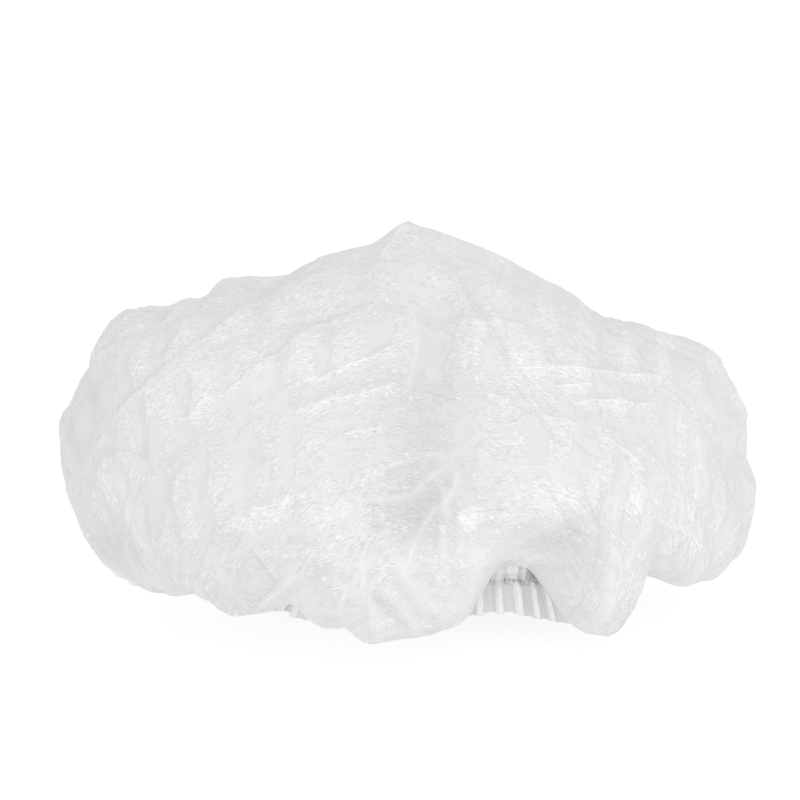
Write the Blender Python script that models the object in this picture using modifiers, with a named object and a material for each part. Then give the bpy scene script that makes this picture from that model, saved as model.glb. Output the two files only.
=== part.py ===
"""Disposable hair cover cap of pleated nonwoven cloth: a puffed crown, the gathered hem it stands on, and its elastic.

Metres, +Z up. +X is the cap's right as it is seen from the front, and the front faces -Y.
The origin is on the floor, below the centre of the cap.
"""

from collections import namedtuple

import bpy
import bmesh
import numpy as np

# Overall size of the puffed crown. The cloth is puffed out from a centre at PUFF_CENTRE of the peak's height, and
# a fold of one side fades out over FRONT_TO_BACK of the depth.
CAP_WIDTH = 0.284
CAP_DEPTH = 0.216
PEAK_HEIGHT = 0.1640
CROWN_WALL = 0.0012
PUFF_CENTRE = 0.42
FRONT_TO_BACK = 0.2

# The opening that the elastic draws in, an ellipse set a little to the right of the peak
OPENING_WIDTH = 0.136
OPENING_DEPTH = 0.084
OPENING_SHIFT = 0.015
NECK_RISE = 0.0075
NECK_SPREAD = 0.0020
JOIN_GAP = 0.0003
JOINED_WITHIN = 0.00001

# Pleats run from the left end of the opening over the crown to its right end
PLEAT_PANELS = 22
PLEAT_RISE = 0.0026
PLEAT_RISE_AT_ENDS = 0.0012
PANEL_PUFF = 0.0008
PLEAT_FADE = 0.16
STEPS_ALONG = 44
EVEN_SPACING = 0.5

# The hem below the gather line
HEM_DROP = 0.0175
HEM_WALL = 0.0010
HEM_FLARE = 0.0035
HEM_FOOT = 0.0015
HEM_NECK = 0.0020
GATHERS = 40
GATHER_SWING = 0.0020
STEPS_PER_GATHER = 4

# The elastic inside the gather line
ELASTIC_WIDTH = 0.0050
ELASTIC_WALL = 0.0010
ELASTIC_STEPS = 72
ELASTIC_GAP = 0.0006

# Share of the way from the opening up to the peak at which each named point of a section lies
STATIONS = {"rim": 0.0, "neck": 0.05, "low": 0.14, "wide": 0.30, "shoulder": 0.53, "slope": 0.77, "peak": 1.0}

# Even sections round the crown, from the right end towards the back. Each reach is a share of the half width
# or half depth of the crown, and each height is a share of the peak's height.
Section = namedtuple(
    "Section",
    "azimuth low_reach low_height wide_reach wide_height shoulder_reach shoulder_height slope_reach slope_height",
)
SECTIONS = (
    Section(0, 0.86, 0.11, 1.00, 0.31, 0.88, 0.66, 0.45, 0.815),
    Section(30, 0.82, 0.08, 1.00, 0.34, 0.84, 0.65, 0.44, 0.825),
    Section(60, 0.79, 0.06, 1.00, 0.37, 0.79, 0.69, 0.42, 0.860),
    Section(90, 0.80, 0.05, 1.00, 0.38, 0.77, 0.71, 0.39, 0.870),
    Section(120, 0.79, 0.05, 1.00, 0.39, 0.81, 0.73, 0.39, 0.860),
    Section(150, 0.75, 0.05, 1.00, 0.37, 0.85, 0.73, 0.39, 0.840),
    Section(180, 0.76, 0.06, 1.00, 0.36, 0.88, 0.72, 0.39, 0.835),
    Section(210, 0.76, 0.11, 0.98, 0.34, 0.85, 0.68, 0.40, 0.850),
    Section(240, 0.78, 0.10, 0.98, 0.34, 0.78, 0.68, 0.38, 0.875),
    Section(270, 0.76, 0.13, 0.97, 0.36, 0.74, 0.70, 0.37, 0.885),
    Section(300, 0.80, 0.22, 0.97, 0.39, 0.78, 0.69, 0.40, 0.860),
    Section(330, 0.84, 0.12, 0.98, 0.32, 0.83, 0.66, 0.44, 0.830),
)

# Folds and dents of the crown, placed as they are seen from the front. Across and along are shares of the half
# width, up is a share of the peak's height, turn is the angle of the long side above the horizontal, and rise is
# a share of the half width, below zero for a dent. Side is -1 for the front, 1 for the back and 0 for both.
Fold = namedtuple("Fold", "name across up turn along wide rise side")
FOLDS = (
    Fold("front_groove", 0.080, 0.72, 88, 0.26, 0.065, -0.055, -1),
    Fold("front_hollow", 0.000, 0.43, 50, 0.16, 0.100, -0.060, -1),
    Fold("puff_over_window", 0.340, 0.42, -8, 0.20, 0.110, 0.045, -1),
    Fold("right_ridge", 0.280, 0.76, -50, 0.42, 0.050, 0.022, -1),
    Fold("left_ridge", -0.100, 0.93, 48, 0.16, 0.050, 0.018, -1),
    Fold("left_drape", -0.160, 0.24, -62, 0.22, 0.060, 0.045, -1),
    Fold("left_facet", -0.480, 0.28, -25, 0.20, 0.070, -0.030, -1),
    Fold("right_drape", 0.560, 0.27, 82, 0.24, 0.085, 0.055, -1),
    Fold("right_drape_side", 0.760, 0.28, 75, 0.20, 0.085, -0.030, -1),
    Fold("right_shoulder_notch", 0.600, 0.77, 100, 0.20, 0.080, -0.065, 0),
    Fold("left_shoulder_notch", -0.600, 0.80, 75, 0.20, 0.060, -0.040, 1),
    Fold("left_back_lobe", -0.480, 0.86, 10, 0.12, 0.070, 0.035, 1),
    Fold("left_upper_notch", -0.930, 0.62, 35, 0.18, 0.070, -0.036, 0),
    Fold("left_end_notch", -1.000, 0.40, 5, 0.16, 0.050, -0.020, 0),
    Fold("right_end_notch", 0.960, 0.50, 0, 0.16, 0.055, -0.022, 0),
)

# Where the hem stands out from its even flare. Reach is a share of the hem's drop, and so is lift, which raises
# the hem and the gather line off the floor.
Flare = namedtuple("Flare", "name azimuth half_angle reach lift")
FLARES = (
    Flare("front_left_drape", 240, 16, 1.10, 0.0),
    Flare("left_arch", 212, 12, 0.30, 0.20),
    Flare("front_window", 292, 20, -0.10, 0.30),
    Flare("front_right_drape", 320, 13, 1.25, 0.0),
    Flare("back_left_drape", 130, 20, 0.45, 0.0),
    Flare("back_right_drape", 60, 22, 0.50, 0.0),
)

CLOTH_COLOUR = (0.86, 0.87, 0.87, 1.0)
HEM_COLOUR = (0.80, 0.81, 0.81, 1.0)
ELASTIC_COLOUR = (0.90, 0.90, 0.89, 1.0)


def smooth_step(share):
    """Rises from 0 to 1 with level ends."""
    share = np.clip(share, 0.0, 1.0)
    return share * share * (3.0 - 2.0 * share)


def through(stations, points, at):
    """A smooth curve through points (station, ..., axis) read at the stations in at."""
    stations = np.asarray(stations, float)
    span = np.diff(stations)
    slope = np.diff(points, axis=0) / span.reshape((-1,) + (1,) * (points.ndim - 1))
    before = span[:-1].reshape((-1,) + (1,) * (points.ndim - 1))
    after = span[1:].reshape((-1,) + (1,) * (points.ndim - 1))
    inner = (slope[:-1] * after + slope[1:] * before) / (before + after)
    tangent = np.concatenate([slope[:1], inner, slope[-1:]])
    left = np.clip(np.searchsorted(stations, at, side="right") - 1, 0, len(span) - 1)
    width = span[left]
    share = ((at - stations[left]) / width)[:, None]
    width = width[:, None]
    each = np.arange(len(at))
    start, end = points[left, each], points[left + 1, each]
    leave, arrive = tangent[left, each] * width, tangent[left + 1, each] * width
    square, cube = share**2, share**3
    return (
        start * (2 * cube - 3 * square + 1)
        + leave * (cube - 2 * square + share)
        + end * (3 * square - 2 * cube)
        + arrive * (cube - square)
    )


def round_the_crown(column, azimuth):
    """A column of SECTIONS at any azimuth in radians, smooth and closed."""
    rows = len(SECTIONS)
    values = np.array([getattr(row, column) for row in SECTIONS])
    place = np.mod(azimuth, 2 * np.pi) / (2 * np.pi) * rows
    left = np.floor(place).astype(int)
    share = place - left
    a, b, c, d = (values[np.mod(left + step, rows)] for step in (-1, 0, 1, 2))
    bend = 2 * a - 5 * b + 4 * c - d
    return b + 0.5 * share * (c - a + share * (bend + share * (3 * (b - c) + d - a)))


def bump(azimuth, flare):
    """How much of a hem flare is felt at an azimuth, from 0 to 1."""
    away = np.angle(np.exp(1j * (azimuth - np.radians(flare.azimuth))))
    return np.exp(-((away / np.radians(flare.half_angle)) ** 2))


def hem_lift(azimuth):
    """How far the hem is raised off the floor."""
    return HEM_DROP * sum(flare.lift * bump(azimuth, flare) for flare in FLARES)


def opening_point(azimuth, outward, height):
    """A point this far outside the opening's ellipse, at this height."""
    across = OPENING_SHIFT + (OPENING_WIDTH / 2 + outward) * np.cos(azimuth)
    deep = (OPENING_DEPTH / 2 + outward) * np.sin(azimuth)
    return np.stack([across, deep, height + 0 * azimuth], axis=-1)


def crown_point(azimuth, reach, height):
    """A point of the crown at this share of its half width or half depth."""
    across = reach * CAP_WIDTH / 2 * np.cos(azimuth)
    deep = reach * CAP_DEPTH / 2 * np.sin(azimuth)
    return np.stack([across, deep, height * PEAK_HEIGHT + 0 * azimuth], axis=-1)


def plain_crown(across, deep):
    """The crown without pleats or folds, over a flat disc whose edge is the opening and whose centre is the peak."""
    azimuth = np.arctan2(deep, across)
    climb = 1.0 - np.clip(np.hypot(across, deep), 0.0, 1.0)
    gather_line = HEM_DROP + JOIN_GAP / 2 + hem_lift(azimuth)
    points = [opening_point(azimuth, 0.0, gather_line), opening_point(azimuth, NECK_SPREAD, gather_line + NECK_RISE)]
    for name in ("low", "wide", "shoulder", "slope"):
        reach = round_the_crown(name + "_reach", azimuth)
        height = round_the_crown(name + "_height", azimuth)
        points.append(crown_point(azimuth, reach, height))
    points.append(crown_point(azimuth, 0.0, 1.0))
    return through(list(STATIONS.values()), np.array(points), climb), climb


def outward_of(points):
    """The way out of the cloth at each point, taken from an ellipsoid of the crown's size."""
    half = np.array([CAP_WIDTH / 2, CAP_DEPTH / 2, PEAK_HEIGHT / 2])
    middle = np.array([0.0, 0.0, PEAK_HEIGHT * PUFF_CENTRE])
    way = (points - middle) / half**2
    return way / np.linalg.norm(way, axis=1, keepdims=True)


def pleats(panel, across, climb):
    """Height of the pleats: mountain and valley creases by turns, with the cloth puffed between them."""
    zigzag = 2.0 * np.abs(np.mod(panel, 2.0) - 1.0) - 1.0
    middle = 2.0 * np.mod(panel, 1.0) - 1.0
    rise = PLEAT_RISE + (PLEAT_RISE_AT_ENDS - PLEAT_RISE) * across**2
    return (rise * zigzag + PANEL_PUFF * (1.0 - middle**2)) * smooth_step(climb / PLEAT_FADE)


def folds(points, climb):
    """Height of the named folds and dents."""
    rise = np.zeros(len(points))
    half = CAP_WIDTH / 2
    for fold in FOLDS:
        right = points[:, 0] - fold.across * half
        up = points[:, 2] - fold.up * PEAK_HEIGHT
        turn = np.radians(fold.turn)
        along = (right * np.cos(turn) + up * np.sin(turn)) / (fold.along * half)
        over = (up * np.cos(turn) - right * np.sin(turn)) / (fold.wide * half)
        felt = np.exp(-(along**2) - over**2)
        if fold.side:
            felt = felt * smooth_step(0.5 + fold.side * points[:, 1] / (CAP_DEPTH * FRONT_TO_BACK))
        rise += fold.rise * half * felt
    return rise * smooth_step(climb / PLEAT_FADE)


def crown_surface(across, deep, panel):
    """The outer face of the crown over the flat disc."""
    points, climb = plain_crown(across, deep)
    rise = pleats(panel, across, climb) + folds(points, climb)
    return points + outward_of(points) * rise[:, None]


def new_object(name, mesh, colour, roughness, collection):
    """An object with its own material, linked to the cap's collection."""
    material = bpy.data.materials.new(name)
    material.use_nodes = True
    shader = material.node_tree.nodes["Principled BSDF"]
    shader.inputs["Base Color"].default_value = colour
    shader.inputs["Roughness"].default_value = roughness
    shader.inputs["Metallic"].default_value = 0.0
    mesh.materials.append(material)
    made = bpy.data.objects.new(name, mesh)
    collection.objects.link(made)
    return made


def sheet_mesh(name, rows):
    """A flat grid laid over rows of points (row, step, axis), with the edges that meet joined."""
    made = bmesh.new()
    bmesh.ops.create_grid(made, x_segments=len(rows[0]) - 1, y_segments=len(rows) - 1)
    for vertex, point in zip(made.verts, np.concatenate(rows)):
        vertex.co = point
    bmesh.ops.remove_doubles(made, verts=made.verts, dist=JOINED_WITHIN)
    bmesh.ops.recalc_face_normals(made, faces=made.faces)
    mesh = bpy.data.meshes.new(name)
    made.to_mesh(mesh)
    made.free()
    return mesh


def give_wall(made, thickness, offset):
    """Thickens an open cloth surface into a closed wall."""
    wall = made.modifiers.new("cloth_wall", "SOLIDIFY")
    wall.thickness = thickness
    wall.offset = offset
    wall.use_even_offset = False


def face_outwards(mesh, centre):
    """Turns the mesh's faces over if they look towards the centre."""
    looks = sum((face.center - centre).dot(face.normal) * face.area for face in mesh.polygons)
    if looks < 0:
        mesh.flip_normals()


def build_crown(collection):
    """The pleated crown: grid lines follow the creases from the left end of the opening to the right end."""
    turn = np.pi * np.arange(STEPS_ALONG + 1) / STEPS_ALONG
    across = -np.cos(turn) * (1 - EVEN_SPACING) + (2 * turn / np.pi - 1) * EVEN_SPACING
    lines = 2 * PLEAT_PANELS
    rows = []
    for line in range(lines + 1):
        deep = (2 * line / lines - 1) * np.sqrt(np.clip(1 - across**2, 0.0, 1.0))
        rows.append(crown_surface(across, deep, np.full(len(across), line / 2)))
    mesh = sheet_mesh("crown", np.array(rows))
    crown = new_object("crown", mesh, CLOTH_COLOUR, 0.75, collection)
    face_outwards(mesh, crown.location.copy())
    give_wall(crown, CROWN_WALL, -1.0)
    mesh.shade_smooth()
    return crown


def hem_outward(azimuth, share):
    """How far the hem lies outside the opening, at this share of the way down to its free edge."""
    drapes = HEM_DROP * sum(flare.reach * bump(azimuth, flare) for flare in FLARES)
    wave = GATHER_SWING * np.sin(GATHERS * azimuth)
    return -HEM_WALL / 2 + share * (HEM_FLARE + drapes + wave)


def build_hem(collection):
    """The gathered hem: narrow at the gather line, in waves at the free edge, which is level where it stands."""
    steps = GATHERS * STEPS_PER_GATHER
    azimuth = 2 * np.pi * np.arange(steps + 1) / steps
    lift = hem_lift(azimuth)
    top = HEM_DROP - JOIN_GAP / 2
    rows = []
    for share, height in ((0.0, top), (0.0, top - HEM_NECK), (0.5, HEM_DROP / 2), (1.0, HEM_FOOT), (1.0, 0.0)):
        rows.append(opening_point(azimuth, hem_outward(azimuth, share), lift + height))
    mesh = sheet_mesh("hem_ruffle", np.array(rows))
    hem = new_object("hem_ruffle", mesh, HEM_COLOUR, 0.75, collection)
    give_wall(hem, HEM_WALL, 0.0)
    mesh.shade_smooth()
    return hem


def build_elastic(collection):
    """The flat elastic that lies inside the gather line and draws the opening in."""
    azimuth = 2 * np.pi * np.arange(ELASTIC_STEPS + 1) / ELASTIC_STEPS
    inside = -CROWN_WALL - ELASTIC_GAP - ELASTIC_WALL / 2
    gather_line = HEM_DROP + hem_lift(azimuth)
    rows = [
        opening_point(azimuth, inside, gather_line - ELASTIC_WIDTH / 2),
        opening_point(azimuth, inside, gather_line + ELASTIC_WIDTH / 2),
    ]
    mesh = sheet_mesh("elastic_band", np.array(rows))
    elastic = new_object("elastic_band", mesh, ELASTIC_COLOUR, 0.6, collection)
    give_wall(elastic, ELASTIC_WALL, 0.0)
    mesh.shade_smooth()
    return elastic


def centre_over_origin(parts):
    """Moves the cap so that the middle of its width and depth is over the origin and it stands on the floor."""
    bpy.context.view_layer.update()
    graph = bpy.context.evaluated_depsgraph_get()
    corners = []
    for part in parts:
        seen = part.evaluated_get(graph)
        corners += [vertex.co.copy() for vertex in seen.data.vertices]
    low = np.min(corners, axis=0)
    high = np.max(corners, axis=0)
    shift = np.array([-(low[0] + high[0]) / 2, -(low[1] + high[1]) / 2, -low[2]])
    for part in parts:
        part.location = shift


def main():
    """Clears the scene and builds the cap."""
    for old in list(bpy.data.objects):
        bpy.data.objects.remove(old)
    collection = bpy.data.collections.new("hair_cover_cap")
    bpy.context.scene.collection.children.link(collection)
    parts = [build_crown(collection), build_hem(collection), build_elastic(collection)]
    centre_over_origin(parts)


main()
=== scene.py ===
"""Visual model of a disposable hair cover cap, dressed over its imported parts.

The cap is one strip of pleated nonwoven cloth, puffed out over an opening that an elastic gathers. Lengths are metres
and +Z is up. +X is the cap's right as it is seen from its front, and the front faces -Y.
"""

from __future__ import annotations

import logging
import math
from dataclasses import dataclass, field
from enum import Enum
from typing import Any, Sequence

import bmesh
import bpy
import numpy as np
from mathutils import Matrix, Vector


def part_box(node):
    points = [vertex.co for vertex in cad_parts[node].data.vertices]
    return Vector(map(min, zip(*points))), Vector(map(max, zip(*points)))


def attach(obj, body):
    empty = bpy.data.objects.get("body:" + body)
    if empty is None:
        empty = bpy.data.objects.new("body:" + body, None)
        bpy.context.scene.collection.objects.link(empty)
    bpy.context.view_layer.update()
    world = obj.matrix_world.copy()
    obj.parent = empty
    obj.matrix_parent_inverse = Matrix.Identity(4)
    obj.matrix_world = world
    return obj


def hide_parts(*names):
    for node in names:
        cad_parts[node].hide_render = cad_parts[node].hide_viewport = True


log = logging.getLogger("hair_cover_cap")
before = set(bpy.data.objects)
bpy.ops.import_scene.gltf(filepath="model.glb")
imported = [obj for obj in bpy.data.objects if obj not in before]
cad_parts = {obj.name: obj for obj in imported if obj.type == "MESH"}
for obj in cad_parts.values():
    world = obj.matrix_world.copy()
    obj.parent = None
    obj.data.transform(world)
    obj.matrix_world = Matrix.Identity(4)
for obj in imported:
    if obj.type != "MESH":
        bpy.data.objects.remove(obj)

MM = 0.001
JOINED_WITHIN = 0.00001

# How far beside a crease its line is kept, and how far it stays strong, in millimetres.
LINE_REACH = 4.0
LINE_NEAR = 1.5

# Even sections round the crown, from the right end towards the back. Each reach is a share of the half width
# or half depth of the crown, and each height is a share of the peak's height.
SECTION_COLUMNS = ("low_reach", "low_height", "wide_reach", "wide_height",
                   "shoulder_reach", "shoulder_height", "slope_reach", "slope_height")
SECTIONS = (
    (0.86, 0.11, 1.00, 0.31, 0.88, 0.66, 0.45, 0.815),
    (0.82, 0.08, 1.00, 0.34, 0.84, 0.65, 0.44, 0.825),
    (0.79, 0.06, 1.00, 0.37, 0.79, 0.69, 0.42, 0.860),
    (0.80, 0.05, 1.00, 0.38, 0.77, 0.71, 0.39, 0.870),
    (0.79, 0.05, 1.00, 0.39, 0.81, 0.73, 0.39, 0.860),
    (0.75, 0.05, 1.00, 0.37, 0.85, 0.73, 0.39, 0.840),
    (0.76, 0.06, 1.00, 0.36, 0.88, 0.72, 0.39, 0.835),
    (0.76, 0.105, 0.98, 0.34, 0.85, 0.68, 0.40, 0.850),
    (0.78, 0.10, 0.98, 0.34, 0.78, 0.68, 0.38, 0.875),
    (0.76, 0.13, 0.97, 0.36, 0.74, 0.70, 0.37, 0.885),
    (0.80, 0.22, 0.97, 0.39, 0.78, 0.69, 0.40, 0.860),
    (0.84, 0.12, 0.98, 0.32, 0.83, 0.66, 0.44, 0.830),
)


@dataclass(frozen=True)
class Fold:
    """A broad fold or dent, placed as it is seen from the front.

    Across and along are shares of the half width, up is a share of the peak's height, turn is the angle of the long
    side above the horizontal in degrees, and rise is a share of the half width, below zero for a dent. Side is -1 for
    the front, 1 for the back and 0 for both.
    """

    name: str
    across: float
    up: float
    turn: float
    along: float
    wide: float
    rise: float
    side: int


FOLDS = (
    Fold("front_groove", 0.080, 0.72, 88, 0.26, 0.080, -0.040, -1),
    Fold("front_hollow", 0.000, 0.43, 50, 0.16, 0.100, -0.060, -1),
    Fold("puff_over_window", 0.340, 0.42, -8, 0.20, 0.110, 0.045, -1),
    Fold("right_ridge", 0.280, 0.76, -50, 0.42, 0.050, 0.022, -1),
    Fold("left_ridge", -0.100, 0.93, 48, 0.16, 0.050, 0.006, -1),
    Fold("left_slope_swell", -0.300, 0.89, 22, 0.08, 0.050, 0.010, 0),
    Fold("left_peak_dip", -0.110, 0.960, 35, 0.08, 0.060, -0.026, 0),
    Fold("peak_top", 0.020, 1.00, 0, 0.05, 0.050, -0.012, 0),
    Fold("left_slope_dip", -0.425, 0.88, 20, 0.07, 0.060, -0.062, 0),
    Fold("left_lobe_dip", -0.730, 0.785, 10, 0.06, 0.070, -0.042, 0),
    Fold("left_lobe_swell", -0.800, 0.745, 20, 0.07, 0.070, 0.012, 0),
    Fold("left_end_swell", -0.980, 0.32, 90, 0.10, 0.080, 0.012, 0),
    Fold("left_low_dip", -0.825, 0.125, -30, 0.06, 0.060, -0.031, 0),
    Fold("right_slope_swell", 0.300, 0.87, -25, 0.16, 0.060, 0.012, 0),
    Fold("right_lobe_top", 0.760, 0.73, -15, 0.10, 0.090, -0.034, 0),
    Fold("right_end_tip", 0.950, 0.445, 90, 0.04, 0.090, -0.026, 0),
    Fold("right_end_upper", 0.980, 0.38, 90, 0.06, 0.080, -0.030, 0),
    Fold("right_low_swell", 0.920, 0.18, 60, 0.06, 0.070, 0.006, 0),
    Fold("right_end_swell", 0.970, 0.28, 90, 0.12, 0.080, 0.014, 0),
    Fold("left_drape", -0.160, 0.24, -62, 0.22, 0.060, 0.045, -1),
    Fold("left_facet", -0.480, 0.28, -25, 0.20, 0.070, -0.030, -1),
    Fold("right_drape", 0.580, 0.27, 82, 0.24, 0.085, 0.035, -1),
    Fold("right_drape_side", 0.760, 0.28, 75, 0.20, 0.085, -0.030, -1),
    Fold("right_shoulder_notch", 0.590, 0.77, 100, 0.20, 0.080, -0.041, 0),
    Fold("left_shoulder_notch", -0.605, 0.80, 75, 0.20, 0.055, -0.048, 1),
    Fold("left_back_lobe", -0.570, 0.85, 10, 0.07, 0.070, 0.048, 1),
    Fold("left_upper_notch", -0.930, 0.62, 35, 0.18, 0.070, -0.042, 0),
    Fold("left_end_notch", -1.000, 0.38, 5, 0.16, 0.050, -0.008, 0),
    Fold("right_end_notch", 0.960, 0.55, 0, 0.12, 0.050, -0.007, 0),
)


@dataclass(frozen=True)
class Flare:
    """Where the hem stands out from its even flare. Reach and lift are shares of the hem's drop."""

    name: str
    azimuth: float
    half_angle: float
    reach: float
    lift: float


FRONT_WINDOW = Flare("front_window", 287, 20, -0.05, 0.44)

FLARES = (
    Flare("front_left_drape", 240, 16, 0.10, 0.12),
    Flare("left_arch", 212, 12, 0.30, 0.20),
    FRONT_WINDOW,
    Flare("front_right_drape", 320, 13, 0.80, 0.0),
    Flare("back_left_drape", 130, 20, 0.45, 0.0),
    Flare("back_right_drape", 60, 22, 0.50, 0.0),
)

# Where the front of the crown comes straight down to the gather line.
TUCKED_FRONT = Flare("tucked_front", 293.8, 9.2, 0.0, 0.0)

# How high the crown's lower edge hangs across the front. Azimuths are in degrees and heights are shares of the
# peak's height. The two drapes hang low, and the window between them shows the gathers.
FRONT_EDGE = (
    (212, 0.124),
    (218, 0.140),
    (224, 0.150),
    (230, 0.124),
    (236, 0.096),
    (241, 0.121),
    (248, 0.146),
    (254, 0.081),
    (259, 0.096),
    (262, 0.045),
    (266, 0.070),
    (272, 0.062),
    (277, 0.080),
    (281, 0.100),
    (284, 0.120),
    (286, 0.170),
    (288, 0.210),
    (295, 0.210),
    (297, 0.180),
    (299, 0.130),
    (301, 0.088),
    (304, 0.060),
    (308, 0.060),
    (312, 0.054),
    (315, 0.110),
    (320, 0.205),
    (336, 0.120),
)


class CreaseKind(Enum):
    """How the cloth runs on either side of a crease."""

    GROOVE = "pressed in, with a soft rim on each side"
    RIDGE = "pinched out"
    LAP = "the cloth on the left of its path lies higher"
    RIB = "a smooth narrow roll"
    HOLLOW = "pressed in softly, without a line"


# How light the line on a crease is painted, as a painted highlight on ridges and ribs, or how dark, below zero, as
# painted shade in grooves and under laps.
LINE_SHINE = {
    CreaseKind.GROOVE: -0.45,
    CreaseKind.RIDGE: 0.9,
    CreaseKind.LAP: -0.5,
    CreaseKind.RIB: 0.30,
    CreaseKind.HOLLOW: 0.0,
}

# A painted highlight along each rib: how much lighter its colour is made for each millimetre of its rise.
RIB_PAINTED_HIGHLIGHT = 0.10


@dataclass(frozen=True)
class Crease:
    """A crease that shows from the front. Rise and wide are in millimetres.

    The path's points are across from the middle and up from the floor, in hundredths of the cap's half width.
    """

    name: str
    kind: CreaseKind
    rise: float
    wide: float
    path: tuple[tuple[float, float], ...]


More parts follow.
